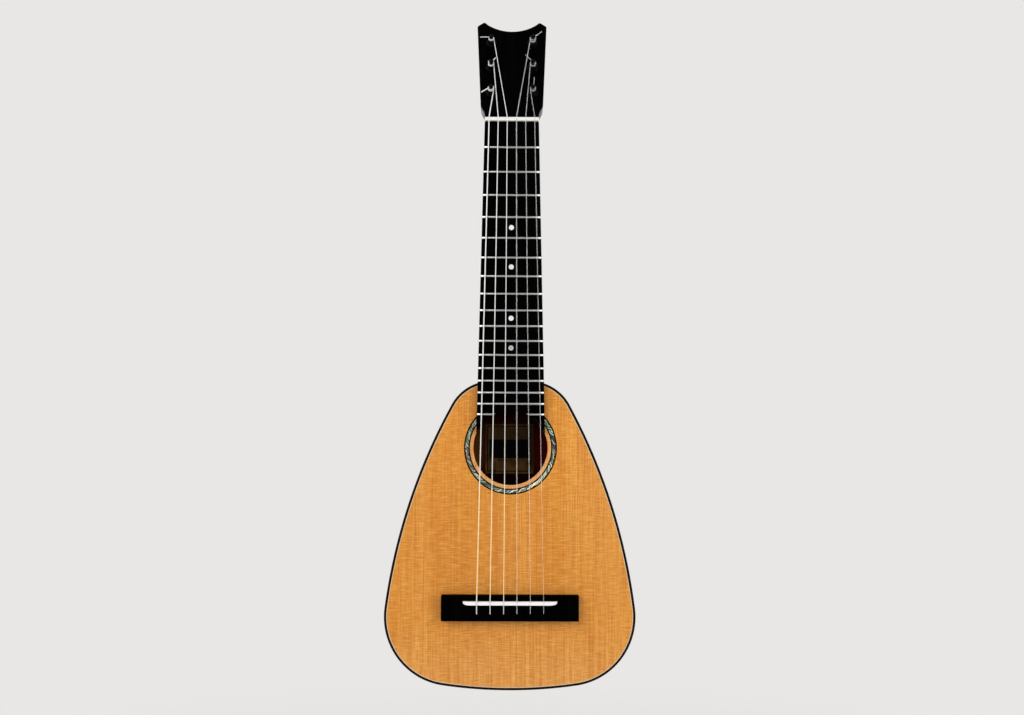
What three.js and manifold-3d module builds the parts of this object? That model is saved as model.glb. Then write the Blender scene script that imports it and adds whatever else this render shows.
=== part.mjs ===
// Travel guitar: teardrop body, fretboard of 17 frets, six geared pegs set straight through
// the headstock, strings anchored through the bridge.
// Millimetres. X points to the treble side, Y into the body and Z up the neck to the head.
// The origin is the middle of the neck at the nut, level with the face of the soundboard.

import * as THREE from 'three';
import { mergeVertices } from 'three/addons/utils/BufferGeometryUtils.js';
import Module from 'manifold-3d';

const wasm = await Module();
wasm.setup();

// Clearances
const seam = 0.3; // glue line or running clearance between neighbours
const overrun = 5; // how far a cutting tool passes its work

// Scale and frets
const scaleLength = 431.8;
const fretsPerOctave = 12;
const fretCount = 17;
const joinFret = 14; // the neck meets the body here
const crownWidth = 2;
const crownHeight = 0.85;
const tangWidth = 0.5;
const tangDepth = 1.6;

// Body outline: arcs that follow each other from the tail to the neck, each turning to a heading
const bottomRadius = 427;
const boutRadius = 62.5;
const shoulderRadius = 41.6;
const bottomHeading = 8.2;
const boutHeading = 97.3;
const flankHeading = 118.6;
const shoulderHeading = 180;
const tailLength = 80; // from the middle of the saddle to the tail

// Body shell
const depthAtNeck = 64;
const depthAtTail = 72;
const topThickness = 2.4;
const backThickness = 2.6;
const sideThickness = 2;
const bindingWidth = 2.3;
const bindingDepth = 5;
const liningWidth = 5.5;
const liningDepth = 12;
const blockHalfWidth = 31;
const neckBlockLength = 20;
const tailBlockLength = 14;

// Soundhole and rosette
const holeRadius = 34;
const holeDrop = 30.7; // from the last fret to the middle of the soundhole
const rosetteInner = 37.5;
const rosetteOuter = 42.3;
const rosetteDepth = 0.9;

// Braces and bridge plate
const braceWidth = 6;
const braceHeight = 9;
const braceCrossingRise = 72.6; // from the string holes to the crossing
const braceAngle = 33;
const toneBarDrop = 30; // from the string holes to the lower bar
const plateThickness = 2.5;
const plateLengthAbove = 17; // from the string holes to its edges
const plateLengthBelow = 8;

// Neck and fretboard
const nutWidth = 50;
const lastFretWidth = 61.8;
const boardThickness = 6;
const boardPastLastFret = 17; // its two horns end here, beside the soundhole
const neckDepthAtNut = 15;
const neckDepthAtHeel = 17.5;
const heelLength = 34;
const heelCapInset = 4; // from the back's edge to the heel's flat cap
const heelSweep = 110; // depth that the heel's round back would reach without its flat cap
const neckFullness = 0.85; // power of the rounded section: below 1 fuller, above 1 leaner
const heelFullness = 1.6;
const heelShares = [0.25, 0.45, 0.62, 0.75, 0.85, 0.92, 0.97, 1];

// Nut
const nutLength = 3.2;
const nutOverString = 0.15; // its top above the strings' middles

// Headstock, in its own plane: v runs up the face from the top of the nut
const headTilt = 13;
const headDrop = 2.4; // face of the head above the soundboard's level, beside the nut
const veneerThickness = 2;
const headThickness = 13;
const headBaseHalf = 25.2;
const headLowHalf = 29.1;
const headLowV = 14.2;
const headTopHalf = 32.9;
const headTopV = 97.5;
const hornHalf = 26.5;
const hornV = 102;
const scoopV = 92.1;
const faceCheekShares = [[0, 0], [0.05, 0.24], [0.45, 0.52], [0.85, 0.85], [1, 1]];
const cheekDraft = 6; // the wood's cheeks start this much further up at its back

// Pegs
const pegOffset = 19.5; // from the middle line to each row
const pegFirstV = 27;
const pegPitch = 26.15;
const postRadius = 2.15;
const waistRadius = 1.65;
const postHeight = 12;
const postCapHeight = 0.7;
const postHoleHeight = 10.3;
const sleeveRadius = 4;
const collarRadius = 5.2;
const collarHeight = 2;
const caseRadius = 7.5;
const caseDepth = 12;
const caseWall = 1.6;
const carrierRadius = 5;
const carrierDepth = 3;
const sunRadius = 3.2;
const sunDepth = 3;
const buttonShaftRadius = 2;
const buttonNeck = 3;
const buttonHalfWidth = 8.5;
const buttonHalfHeight = 7;
const buttonHalfThickness = 3.4;

// Bridge and saddle
const bridgeHalfWidth = 62.3;
const bridgeLength = 22.7;
const bridgeHeight = 8;
const bridgeBevel = 1;
const saddleSetback = 8.2; // from the scale length to the middle of the saddle
const saddleHalfWidth = 42.6;
const saddleLength = 3.3;
const saddleProud = 3.4;
const saddleShoulder = 8;
const saddleSlotDepth = 4;
const saddleFromFront = 6.3; // from the bridge's front edge to the middle of the saddle
const holesFromSaddle = 9.6;

// Strings from the bass side to the treble side. Each has its thickness as a share of the heaviest
// one's, its place as a share of half the nut and of half the saddle, the row of its peg counted
// from the nut, its whole turns on the post, the angle at which its tag end leaves the post,
// measured in the head's face from the treble side, and that end's length as a share of the
// longest one's
const wound = { color: 0xe6e6e2, roughness: 0.35, metalness: 0.4 };
const clear = { color: 0xbfbdb4, roughness: 0.25, metalness: 0 };
const turns = (row, whole, tagAngle, tagShare) => ({ row, whole, tagAngle, tagShare });
const strings = [
  { name: 'e_low', gaugeShare: 1, nutShare: -0.84, bridgeShare: -0.704, ...turns(0, 2, 210, 1) },
  { name: 'a', gaugeShare: 0.82, nutShare: -0.504, bridgeShare: -0.42, ...turns(1, 2, 42, 0.45) },
  { name: 'd', gaugeShare: 0.69, nutShare: -0.17, bridgeShare: -0.134, ...turns(2, 1, 178, 1) },
  { name: 'g', gaugeShare: 0.91, nutShare: 0.17, bridgeShare: 0.146, ...turns(2, 2, 34, 1) },
  { name: 'b', gaugeShare: 0.75, nutShare: 0.508, bridgeShare: 0.43, ...turns(1, 2, 130, 1) },
  { name: 'e_high', gaugeShare: 0.64, nutShare: 0.84, bridgeShare: 0.711, ...turns(0, 2, 80, 1) },
];
const woundCount = 3;
const heaviestRadius = 0.55;
const actionAtNut = 1.3; // middle of a string above the frets' tops, at the nut
const exitRise = 0.8; // under a string where it leaves the bridge
const exitBend = 1.2; // reach of the bend there
const knotRadius = 1.7;
const knotLength = 3;
const knotEdgeShares = [0.25, 0.75];
const turnGap = 0.6; // between neighbouring turns on a post
const holeSlack = 0.45; // around a string in its hole
const cornerClearance = 0.35; // inside the bend where a string turns into its post
const tagLength = 8;

// Facets
const arcSteps = [2, 10, 5, 7];
const holeSteps = 36;
const scoopSteps = 5;
const neckSides = 18;
const stringSides = 6;
const turnSteps = 24;
const cornerSteps = 4;
const barrelSides = 10;
const buttonSides = 10;
const buttonRings = 6;
const crownSteps = 3;
const shoulderSteps = 5;
const bevelSteps = 2;

// Finishes
const spruce = { color: 0xdc964a, roughness: 0.4, metalness: 0 };
const redwood = { color: 0x4a2018, roughness: 0.4, metalness: 0 };
const blackwood = { color: 0x0b0a09, roughness: 0.35, metalness: 0 };
const palewood = { color: 0xb98f5c, roughness: 0.7, metalness: 0 };
const bone = { color: 0xe2e0da, roughness: 0.35, metalness: 0 };
const shell = { color: 0x8fb0a0, roughness: 0.25, metalness: 0.1 };
const nickel = { color: 0xb8b8b4, roughness: 0.3, metalness: 1 };
const blackMetal = { color: 0x161617, roughness: 0.3, metalness: 0.8 };

// Levels worked out from the sizes above
const radians = THREE.MathUtils.degToRad;
const fretAt = (number) => -scaleLength * (1 - 2 ** (-number / fretsPerOctave));
const bodyTopZ = fretAt(joinFret);
const saddleZ = -scaleLength - saddleSetback;
const tailZ = saddleZ - tailLength;
const bodyLength = bodyTopZ - tailZ;

// The bends round the body; the long flank takes up the length that the other bends leave
const riseShare = (from, to) => Math.cos(radians(from)) - Math.cos(radians(to));
const bottomRise = bottomRadius * riseShare(0, bottomHeading);
const boutRise = boutRadius * riseShare(bottomHeading, boutHeading);
const shoulderRise = shoulderRadius * riseShare(flankHeading, shoulderHeading);
const flankRise = bodyLength - bottomRise - boutRise - shoulderRise;
const flankRadius = flankRise / riseShare(boutHeading, flankHeading);
const bends = [
  { radius: bottomRadius, from: 0, to: bottomHeading, steps: arcSteps[0] },
  { radius: boutRadius, from: bottomHeading, to: boutHeading, steps: arcSteps[1] },
  { radius: flankRadius, from: boutHeading, to: flankHeading, steps: arcSteps[2] },
  { radius: shoulderRadius, from: flankHeading, to: shoulderHeading, steps: arcSteps[3] },
];
const stringRadius = (string) => string.gaugeShare * heaviestRadius;
const holeZ = fretAt(fretCount) - holeDrop;
const nutBackZ = seam + nutLength;
const boardTopY = -boardThickness;
const fretTopY = boardTopY - seam - crownHeight;
const innerInset = Math.max(sideThickness, bindingWidth) + seam;
const liningInner = innerInset + liningWidth;
const braceBottomY = topThickness + seam + braceHeight;
const bridgeTopZ = saddleZ + saddleFromFront;
const bridgeBottomZ = bridgeTopZ - bridgeLength;
const stringHoleZ = saddleZ - holesFromSaddle;
const bridgeTopY = -bridgeHeight;
const saddleTopY = bridgeTopY - saddleProud;
const crossingZ = stringHoleZ + braceCrossingRise;
const backFace = (z) => depthAtNeck + ((depthAtTail - depthAtNeck) * (bodyTopZ - z)) / bodyLength;
const deepest = Math.max(depthAtNeck, depthAtTail) + overrun;
const level = (y) => () => y;
const aheadOfBack = (distance) => (z) => backFace(z) - distance;
const boardHalf = (z) => (nutWidth + ((lastFretWidth - nutWidth) * z) / fretAt(fretCount)) / 2;

// The head's plane as a place in the guitar: its Y runs into the wood and its Z up the face
const headPlace = new THREE.Matrix4()
  .makeRotationX(-radians(headTilt))
  .setPosition(0, -headDrop, nutBackZ);
const headWoodTop = veneerThickness + seam;
const headWoodY = (z) => {
  const rise = (z - nutBackZ) * Math.tan(radians(headTilt));
  return headWoodTop / Math.cos(radians(headTilt)) - headDrop + rise;
};

// Solids for joining and cutting
function solidOf(geometry) {
  const bare = geometry.clone();
  bare.deleteAttribute('normal');
  bare.deleteAttribute('uv');
  const merged = mergeVertices(bare);
  return new wasm.Manifold(
    new wasm.Mesh({
      numProp: 3,
      vertProperties: Float32Array.from(merged.attributes.position.array),
      triVerts: Uint32Array.from(merged.index.array),
    }),
  );
}

function geometryOf(solid) {
  const mesh = solid.getMesh();
  const geometry = new THREE.BufferGeometry();
  geometry.setAttribute('position', new THREE.BufferAttribute(mesh.vertProperties, mesh.numProp));
  geometry.setIndex(new THREE.BufferAttribute(mesh.triVerts, 1));
  geometry.computeVertexNormals();
  return geometry;
}

const cut = (solid, cutters) => cutters.reduce((rest, cutter) => rest.subtract(cutter), solid);

// A plate cut to a shape drawn in X and Z, between two faces whose Y may follow Z
function slab(shape, front, back, curveSegments = holeSteps / 2) {
  const geometry = new THREE.ExtrudeGeometry(shape, {
    depth: 1,
    steps: 1,
    bevelEnabled: false,
    curveSegments,
  });
  geometry.rotateX(Math.PI / 2);
  const place = geometry.attributes.position;
  for (let i = 0; i < place.count; i += 1) {
    const z = place.getZ(i);
    const depthShare = 1 + place.getY(i);
    place.setY(i, front(z) + (back(z) - front(z)) * depthShare);
  }
  return solidOf(geometry);
}

function block(x0, x1, y0, y1, z0, z1) {
  const geometry = new THREE.BoxGeometry(x1 - x0, y1 - y0, z1 - z0);
  geometry.translate((x0 + x1) / 2, (y0 + y1) / 2, (z0 + z1) / 2);
  return solidOf(geometry);
}

// A round rod along Y
function rod(radius, x, z, y0, y1, sides) {
  const geometry = new THREE.CylinderGeometry(radius, radius, y1 - y0, sides);
  geometry.translate(x, (y0 + y1) / 2, z);
  return solidOf(geometry);
}

// A turned piece around Y, from points of radius and height; the profile starts and ends on the
// axis or closes on itself, and rises on its outer side
function turned(profile) {
  const points = profile.map(([radius, y]) => new THREE.Vector2(radius, y));
  return solidOf(new THREE.LatheGeometry(points, barrelSides));
}

// A closed skin over rounded rings of equal counts, with a flat cap at each end; each ring runs
// counterclockwise about the way from the first ring to the last
function skin(rings) {
  const count = rings[0].length;
  const faces = [];
  for (let ring = 0; ring + 1 < rings.length; ring += 1) {
    for (let i = 0; i < count; i += 1) {
      const here = ring * count + i;
      const next = ring * count + ((i + 1) % count);
      faces.push(here, next, next + count, here, next + count, here + count);
    }
  }
  const last = (rings.length - 1) * count;
  for (let i = 1; i + 1 < count; i += 1) {
    faces.push(0, i + 1, i, last, last + i, last + i + 1);
  }
  const geometry = new THREE.BufferGeometry();
  const places = rings.flat().flatMap((point) => point.toArray());
  geometry.setAttribute('position', new THREE.Float32BufferAttribute(places, 3));
  geometry.setIndex(faces);
  geometry.computeVertexNormals();
  return geometry;
}

// A tube of round rings along a route; each ring may have its own radius
function tube(route, radii) {
  const rings = [];
  let side = new THREE.Vector3(1, 0, 0);
  route.forEach((point, i) => {
    const heading = new THREE.Vector3();
    if (i > 0) heading.add(point.clone().sub(route[i - 1]).normalize());
    if (i + 1 < route.length) heading.add(route[i + 1].clone().sub(point).normalize());
    heading.normalize();
    side = side.sub(heading.clone().multiplyScalar(side.dot(heading))).normalize();
    const across = heading.clone().cross(side);
    const ring = [];
    for (let k = 0; k < stringSides; k += 1) {
      const angle = (2 * Math.PI * k) / stringSides;
      const offset = side.clone().multiplyScalar(radii[i] * Math.cos(angle));
      offset.addScaledVector(across, radii[i] * Math.sin(angle));
      ring.push(point.clone().add(offset));
    }
    rings.push(ring);
  });
  return skin(rings);
}

// The body's outline, drawn in by an inset, as a closed list of points from the tail's middle
function bodyOutline(inset) {
  const right = [new THREE.Vector2(0, tailZ + inset)];
  for (const bend of bends) {
    const start = right[right.length - 1];
    const radius = bend.radius - inset;
    const first = radians(bend.from);
    const centre = new THREE.Vector2(
      start.x - radius * Math.sin(first),
      start.y + radius * Math.cos(first),
    );
    for (let i = 1; i <= bend.steps; i += 1) {
      const heading = first + (radians(bend.to - bend.from) * i) / bend.steps;
      const x = centre.x + radius * Math.sin(heading);
      right.push(new THREE.Vector2(x, centre.y - radius * Math.cos(heading)));
    }
  }
  const left = right.slice(1).reverse();
  return right.concat(left.map((point) => new THREE.Vector2(-point.x, point.y)));
}

const bodyShape = (inset) => new THREE.Shape(bodyOutline(inset));

function bodyBand(outer, inner) {
  const shape = bodyShape(outer);
  shape.holes.push(new THREE.Path(bodyOutline(inner)));
  return shape;
}

// The guitar, and the tilted head as a group in it
const guitar = new THREE.Group();
const head = new THREE.Group();
head.applyMatrix4(headPlace);
guitar.add(head);

function add(name, geometry, finish, group = guitar) {
  const mesh = new THREE.Mesh(geometry, new THREE.MeshStandardMaterial(finish));
  mesh.name = name;
  group.add(mesh);
}

// Holes that the strings take through the bridge, the soundboard and the plate under it
const plateEnd = topThickness + seam + plateThickness + overrun;
const nutPlace = (string) => (string.nutShare * nutWidth) / 2;
const bridgePlace = (string) => string.bridgeShare * saddleHalfWidth;
const stringHoles = strings.map((string) => {
  const radius = stringRadius(string) + holeSlack;
  const x = bridgePlace(string);
  return rod(radius, x, stringHoleZ, bridgeTopY - overrun, plateEnd, barrelSides);
});

// Soundboard with its soundhole and the channel for the rosette
function makeSoundboard() {
  const shape = bodyShape(bindingWidth + seam);
  const hole = new THREE.Path();
  hole.absarc(0, holeZ, holeRadius, 0, 2 * Math.PI, true);
  shape.holes.push(hole);
  const board = slab(shape, level(0), level(topThickness));
  const channel = slab(
    roundBand(rosetteInner - seam, rosetteOuter + seam),
    level(-overrun),
    level(rosetteDepth + seam),
  );
  return cut(board, [channel, ...stringHoles]);
}

function roundBand(inner, outer) {
  const shape = new THREE.Shape();
  shape.absarc(0, holeZ, outer, 0, 2 * Math.PI, false);
  const hole = new THREE.Path();
  hole.absarc(0, holeZ, inner, 0, 2 * Math.PI, true);
  shape.holes.push(hole);
  return shape;
}

add('soundboard', geometryOf(makeSoundboard()), spruce);
add(
  'rosette',
  geometryOf(slab(roundBand(rosetteInner, rosetteOuter), level(0), level(rosetteDepth))),
  shell,
);

// Shell: bindings at both edges, the bent side between them and the back
const topBinding = slab(bodyBand(0, bindingWidth), level(0), level(bindingDepth));
add('top_binding', geometryOf(topBinding), blackwood);
const backBinding = slab(bodyBand(0, bindingWidth), aheadOfBack(bindingDepth), backFace);
add('back_binding', geometryOf(backBinding), blackwood);
const side = slab(
  bodyBand(0, sideThickness),
  level(bindingDepth + seam),
  aheadOfBack(bindingDepth + seam),
);
add('side', geometryOf(side), redwood);
const backPlate = slab(bodyShape(bindingWidth + seam), aheadOfBack(backThickness), backFace);
add('back', geometryOf(backPlate), redwood);

// Linings: a strip round each edge, open where the neck block stands
const innerTopY = topThickness + seam;
const innerBackY = aheadOfBack(backThickness + seam);
const neckBlockZ = bodyTopZ - innerInset - neckBlockLength;
const tailBlockZ = tailZ + innerInset + tailBlockLength;
const neckBlockSpace = block(
  -blockHalfWidth - seam,
  blockHalfWidth + seam,
  -overrun,
  deepest,
  neckBlockZ - seam,
  bodyTopZ + overrun,
);
const liningShape = bodyBand(innerInset, liningInner);
const topLining = slab(liningShape, level(innerTopY), level(innerTopY + liningDepth));
const backLining = slab(
  liningShape,
  aheadOfBack(backThickness + seam + liningDepth),
  innerBackY,
);
add('top_lining', geometryOf(topLining.subtract(neckBlockSpace)), palewood);
add('back_lining', geometryOf(backLining.subtract(neckBlockSpace)), palewood);

// Blocks: full depth, shaped to the inside of the side; the tail block is notched for the linings
function makeBlock(inset, front, back, z0, z1) {
  const inside = slab(bodyShape(inset), front, back);
  const reach = block(-blockHalfWidth, blockHalfWidth, -overrun, deepest, z0, z1);
  return inside.intersect(reach);
}

const neckBlock = makeBlock(innerInset, level(innerTopY), innerBackY, neckBlockZ, bodyTopZ);
add('neck_block', geometryOf(neckBlock), palewood);
const tailCore = makeBlock(
  liningInner + seam,
  level(innerTopY),
  innerBackY,
  tailZ,
  tailBlockZ,
);
const tailTongue = makeBlock(
  innerInset,
  level(innerTopY + liningDepth + seam),
  aheadOfBack(backThickness + seam + liningDepth + seam),
  tailZ,
  tailBlockZ,
);
add('tail_block', geometryOf(tailCore.add(tailTongue)), palewood);

// Braces: two legs that cross between the soundhole and the bridge, joined by a low bar
const slope = Math.tan(radians(braceAngle));

function makeBraces() {
  const bottomZ = stringHoleZ - toneBarDrop;
  const half = braceWidth / 2 / Math.cos(radians(braceAngle));
  const top = holeZ + holeRadius;
  const leg = (sign) => {
    const xAt = (z) => sign * (crossingZ - z) * slope;
    const shape = new THREE.Shape([
      new THREE.Vector2(xAt(bottomZ) - half, bottomZ),
      new THREE.Vector2(xAt(bottomZ) + half, bottomZ),
      new THREE.Vector2(xAt(top) + half, top),
      new THREE.Vector2(xAt(top) - half, top),
    ]);
    return slab(shape, level(innerTopY), level(braceBottomY));
  };
  const reach = (crossingZ - bottomZ) * slope + half;
  const bar = block(-reach, reach, innerTopY, braceBottomY, bottomZ - braceWidth, bottomZ);
  const inside = slab(bodyShape(liningInner + seam), level(-overrun), level(depthAtNeck));
  return leg(1).add(leg(-1)).add(bar).intersect(inside);
}

add('soundboard_braces', geometryOf(makeBraces()), palewood);

// Bridge plate: fits between the legs of the braces
function makeBridgePlate() {
  const topZ = stringHoleZ + plateLengthAbove;
  const bottomZ = stringHoleZ - plateLengthBelow;
  const margin = (braceWidth / 2 + seam) / Math.cos(radians(braceAngle));
  const half = (z) => (crossingZ - z) * slope - margin;
  const shape = new THREE.Shape([
    new THREE.Vector2(-half(bottomZ), bottomZ),
    new THREE.Vector2(half(bottomZ), bottomZ),
    new THREE.Vector2(half(topZ), topZ),
    new THREE.Vector2(-half(topZ), topZ),
  ]);
  return cut(slab(shape, level(innerTopY), level(innerTopY + plateThickness)), stringHoles);
}

add('bridge_plate', geometryOf(makeBridgePlate()), redwood);

// Neck: rounded rings from inside the head to the heel, joined to the head's slab
const headBackAtNut = headThickness / Math.cos(radians(headTilt)) - headDrop;
const intoHead = (neckDepthAtNut - headBackAtNut) / Math.tan(radians(headTilt));
const headInsideZ = nutBackZ + intoHead + overrun;
const heelTopZ = bodyTopZ + heelLength;

function neckRing(z) {
  const half = boardHalf(Math.min(z, 0));
  const top = Math.max(0, z > nutBackZ ? headWoodY(z) + seam : 0);
  const runShare = THREE.MathUtils.clamp(z / heelTopZ, 0, 1);
  const plain = neckDepthAtNut + (neckDepthAtHeel - neckDepthAtNut) * runShare;
  const heelShare = THREE.MathUtils.clamp((heelTopZ - z) / heelLength, 0, 1);
  const swoop = 1 - Math.sqrt(1 - heelShare ** 2);
  const deep = plain + (heelSweep - neckDepthAtHeel) * swoop;
  const power = neckFullness + (heelFullness - neckFullness) * swoop;
  const ring = [];
  for (let i = 0; i <= neckSides; i += 1) {
    const angle = (Math.PI * i) / neckSides;
    const across = Math.sign(Math.cos(angle)) * Math.abs(Math.cos(angle)) ** power;
    const y = top + (deep - top) * Math.sin(angle) ** power;
    ring.push(new THREE.Vector3(half * across, Math.min(y, depthAtNeck - heelCapInset), z));
  }
  return ring;
}

// The head's outline; its low sides curve out from the nut along a row of shares
function headShape(cheekShares, baseV) {
  const scoopRise = hornV - scoopV;
  const scoopRadius = (hornHalf ** 2 + scoopRise ** 2) / (2 * scoopRise);
  const scoopAngle = Math.asin(hornHalf / scoopRadius);
  const right = cheekShares.map(([outShare, upShare]) => {
    const x = headBaseHalf + (headLowHalf - headBaseHalf) * outShare;
    return new THREE.Vector2(x, baseV + (headLowV - baseV) * upShare);
  });
  right.push(new THREE.Vector2(headTopHalf, headTopV), new THREE.Vector2(hornHalf, hornV));
  const left = right.map((point) => new THREE.Vector2(-point.x, point.y)).reverse();
  const shape = new THREE.Shape();
  shape.setFromPoints(right);
  shape.absarc(
    0,
    scoopV + scoopRadius,
    scoopRadius,
    scoopAngle - Math.PI / 2,
    -scoopAngle - Math.PI / 2,
    true,
  );
  left.slice(1).forEach((point) => shape.lineTo(point.x, point.y));
  shape.closePath();
  return shape;
}

const pegs = strings.map(({ row }, i) => {
  const sign = i < strings.length / 2 ? -1 : 1;
  return { sign, x: sign * pegOffset, v: pegFirstV + pegPitch * row };
});
const pegHoles = pegs.map((peg) =>
  rod(sleeveRadius + seam, peg.x, peg.v, -overrun, headThickness + overrun, barrelSides),
);

function makeNeck() {
  const rings = [headInsideZ, nutBackZ, 0, heelTopZ / 2, heelTopZ].map(neckRing);
  rings.push(...heelShares.map((share) => neckRing(heelTopZ - heelLength * share)));
  const lower = rings[rings.length - 1].map((point) => point.clone().setZ(bodyTopZ - overrun));
  rings.push(lower);
  const shaft = solidOf(skin(rings.reverse()));
  const wood = slab(
    headShape(faceCheekShares, 0),
    level(headWoodTop),
    level(headThickness),
    scoopSteps,
  ).warp((point) => {
    const depthShare = (point[1] - headWoodTop) / (headThickness - headWoodTop);
    const lowShare = Math.max(1 - point[2] / headLowV, 0);
    point[2] += cheekDraft * depthShare * lowShare;
  });
  const bodySpace = slab(bodyShape(-seam), level(-overrun), level(deepest));
  const drills = pegHoles.map((drill) => drill.transform(headPlace.elements));
  return cut(shaft.add(wood.transform(headPlace.elements)), [bodySpace, ...drills]);
}

add('neck', geometryOf(makeNeck()), redwood);
const veneerBase = seam + veneerThickness * Math.tan(radians(headTilt));
const veneer = slab(
  headShape(faceCheekShares, veneerBase),
  level(0),
  level(veneerThickness),
  scoopSteps,
);
add('headstock_face', geometryOf(cut(veneer, pegHoles)), blackwood, head);

// Fretboard: flares to its end, which is cut along the soundhole; a slot for each fret
function makeFretboard() {
  const endZ = fretAt(fretCount) - boardPastLastFret;
  const shape = new THREE.Shape([
    new THREE.Vector2(-boardHalf(0), 0),
    new THREE.Vector2(-boardHalf(endZ), endZ),
    new THREE.Vector2(boardHalf(endZ), endZ),
    new THREE.Vector2(boardHalf(0), 0),
  ]);
  const board = slab(shape, level(boardTopY), level(-seam));
  const slots = [];
  for (let number = 1; number <= fretCount; number += 1) {
    const z = fretAt(number);
    const half = tangWidth / 2 + seam;
    const slotDepth = boardTopY + tangDepth + seam;
    slots.push(
      block(-lastFretWidth, lastFretWidth, boardTopY - overrun, slotDepth, z - half, z + half),
    );
  }
  slots.push(rod(holeRadius, 0, holeZ, boardTopY - overrun, overrun, holeSteps));
  return cut(board, slots);
}

add('fretboard', geometryOf(makeFretboard()), blackwood);

// Frets: a domed crown on a tang, flush with the board's edges
function fretSection() {
  const half = tangWidth / 2;
  const under = boardTopY - seam;
  const shape = new THREE.Shape();
  shape.moveTo(half, boardTopY + tangDepth);
  shape.lineTo(-half, boardTopY + tangDepth);
  shape.lineTo(-half, under);
  shape.lineTo(-crownWidth / 2, under);
  shape.quadraticCurveTo(-crownWidth / 2, fretTopY, 0, fretTopY);
  shape.quadraticCurveTo(crownWidth / 2, fretTopY, crownWidth / 2, under);
  shape.lineTo(half, under);
  shape.closePath();
  return shape;
}

function makeFret(number, x0, x1) {
  const geometry = new THREE.ExtrudeGeometry(fretSection(), {
    depth: x1 - x0,
    bevelEnabled: false,
    curveSegments: crownSteps,
  });
  geometry.rotateY(Math.PI / 2);
  geometry.translate(x0, 0, fretAt(number));
  return geometry;
}

for (let number = 1; number <= fretCount; number += 1) {
  const half = boardHalf(fretAt(number)) - seam;
  if (fretAt(number) - holeZ > holeRadius) {
    add(`fret_${number}`, makeFret(number, -half, half), nickel);
  } else {
    const space = rod(holeRadius + seam, 0, holeZ, boardTopY - overrun, overrun, holeSteps);
    const bass = solidOf(makeFret(number, -half, 0)).subtract(space);
    add(`fret_${number}_bass`, geometryOf(bass), nickel);
    const treble = solidOf(makeFret(number, 0, half)).subtract(space);
    add(`fret_${number}_treble`, geometryOf(treble), nickel);
  }
}

// Height of the strings' middles at the nut
const stringLineY = fretTopY - actionAtNut;
const nutTopY = stringLineY - nutOverString;

// Nut: a bone bar across the neck with a slot for each string
function makeNut() {
  const bar = block(-nutWidth / 2, nutWidth / 2, nutTopY, -seam, seam, nutBackZ);
  const slots = strings.map((string) => {
    const half = stringRadius(string) + seam;
    const x = nutPlace(string);
    const floor = stringLineY + half;
    return block(x - half, x + half, nutTopY - overrun, floor, -overrun, nutBackZ + overrun);
  });
  return cut(bar, slots);
}

add('nut', geometryOf(makeNut()), bone);

// Bridge: a rectangular block with eased edges, the saddle's slot and the string holes
function makeBridge() {
  const x = bridgeHalfWidth - bridgeBevel;
  const shape = new THREE.Shape([
    new THREE.Vector2(-x, bridgeBottomZ + bridgeBevel),
    new THREE.Vector2(x, bridgeBottomZ + bridgeBevel),
    new THREE.Vector2(x, bridgeTopZ - bridgeBevel),
    new THREE.Vector2(-x, bridgeTopZ - bridgeBevel),
  ]);
  const geometry = new THREE.ExtrudeGeometry(shape, {
    depth: bridgeHeight,
    bevelSize: bridgeBevel,
    bevelThickness: bridgeBevel,
    bevelSegments: bevelSteps,
  });
  geometry.rotateX(Math.PI / 2);
  geometry.translate(0, bridgeBevel, 0);
  const rough = solidOf(geometry);
  const reach = bridgeHalfWidth + overrun;
  const keep = block(
    -reach,
    reach,
    bridgeTopY,
    -seam,
    bridgeBottomZ - overrun,
    bridgeTopZ + overrun,
  );
  const slotHalf = saddleLength / 2 + seam;
  const slotReach = saddleHalfWidth + seam;
  const slot = block(
    -slotReach,
    slotReach,
    bridgeTopY - overrun,
    bridgeTopY + saddleSlotDepth + seam,
    saddleZ - slotHalf,
    saddleZ + slotHalf,
  );
  return cut(rough.intersect(keep), [slot, ...stringHoles]);
}

add('bridge', geometryOf(makeBridge()), blackwood);

// Saddle: a bone strip whose crown falls away at both ends
function makeSaddle() {
  const shape = new THREE.Shape();
  const bottom = bridgeTopY + saddleSlotDepth;
  const x = saddleHalfWidth;
  shape.moveTo(-x, bottom);
  shape.lineTo(x, bottom);
  shape.lineTo(x, bridgeTopY);
  shape.quadraticCurveTo(x, saddleTopY, x - saddleShoulder, saddleTopY);
  shape.lineTo(saddleShoulder - x, saddleTopY);
  shape.quadraticCurveTo(-x, saddleTopY, -x, bridgeTopY);
  shape.closePath();
  const geometry = new THREE.ExtrudeGeometry(shape, {
    depth: saddleLength,
    bevelEnabled: false,
    curveSegments: shoulderSteps,
  });
  geometry.translate(0, 0, saddleZ - saddleLength / 2);
  return geometry;
}

add('saddle', makeSaddle(), bone);

// Pegs: a housing whose sleeve passes through the head, a string post turning in it, and a button
// on the shaft behind. In a peg's own group Y is its axis, from the tip at the front to the back
const caseFront = headThickness + seam;
const caseBack = caseFront + caseDepth;
const boreRadius = postRadius + seam;
const cavityRadius = caseRadius - caseWall;
const cavityFront = caseFront + caseWall;
const cavityBack = caseBack - caseWall;
const shaftBore = buttonShaftRadius + seam;

function makeHousing() {
  return turned([
    [boreRadius, -collarHeight],
    [collarRadius, -collarHeight],
    [collarRadius, -seam],
    [sleeveRadius, -seam],
    [sleeveRadius, caseFront],
    [caseRadius, caseFront],
    [caseRadius, caseBack],
    [shaftBore, caseBack],
    [shaftBore, cavityBack],
    [cavityRadius, cavityBack],
    [cavityRadius, cavityFront],
    [boreRadius, cavityFront],
    [boreRadius, -collarHeight],
  ]);
}

const waistFloor = -collarHeight - seam;

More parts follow.
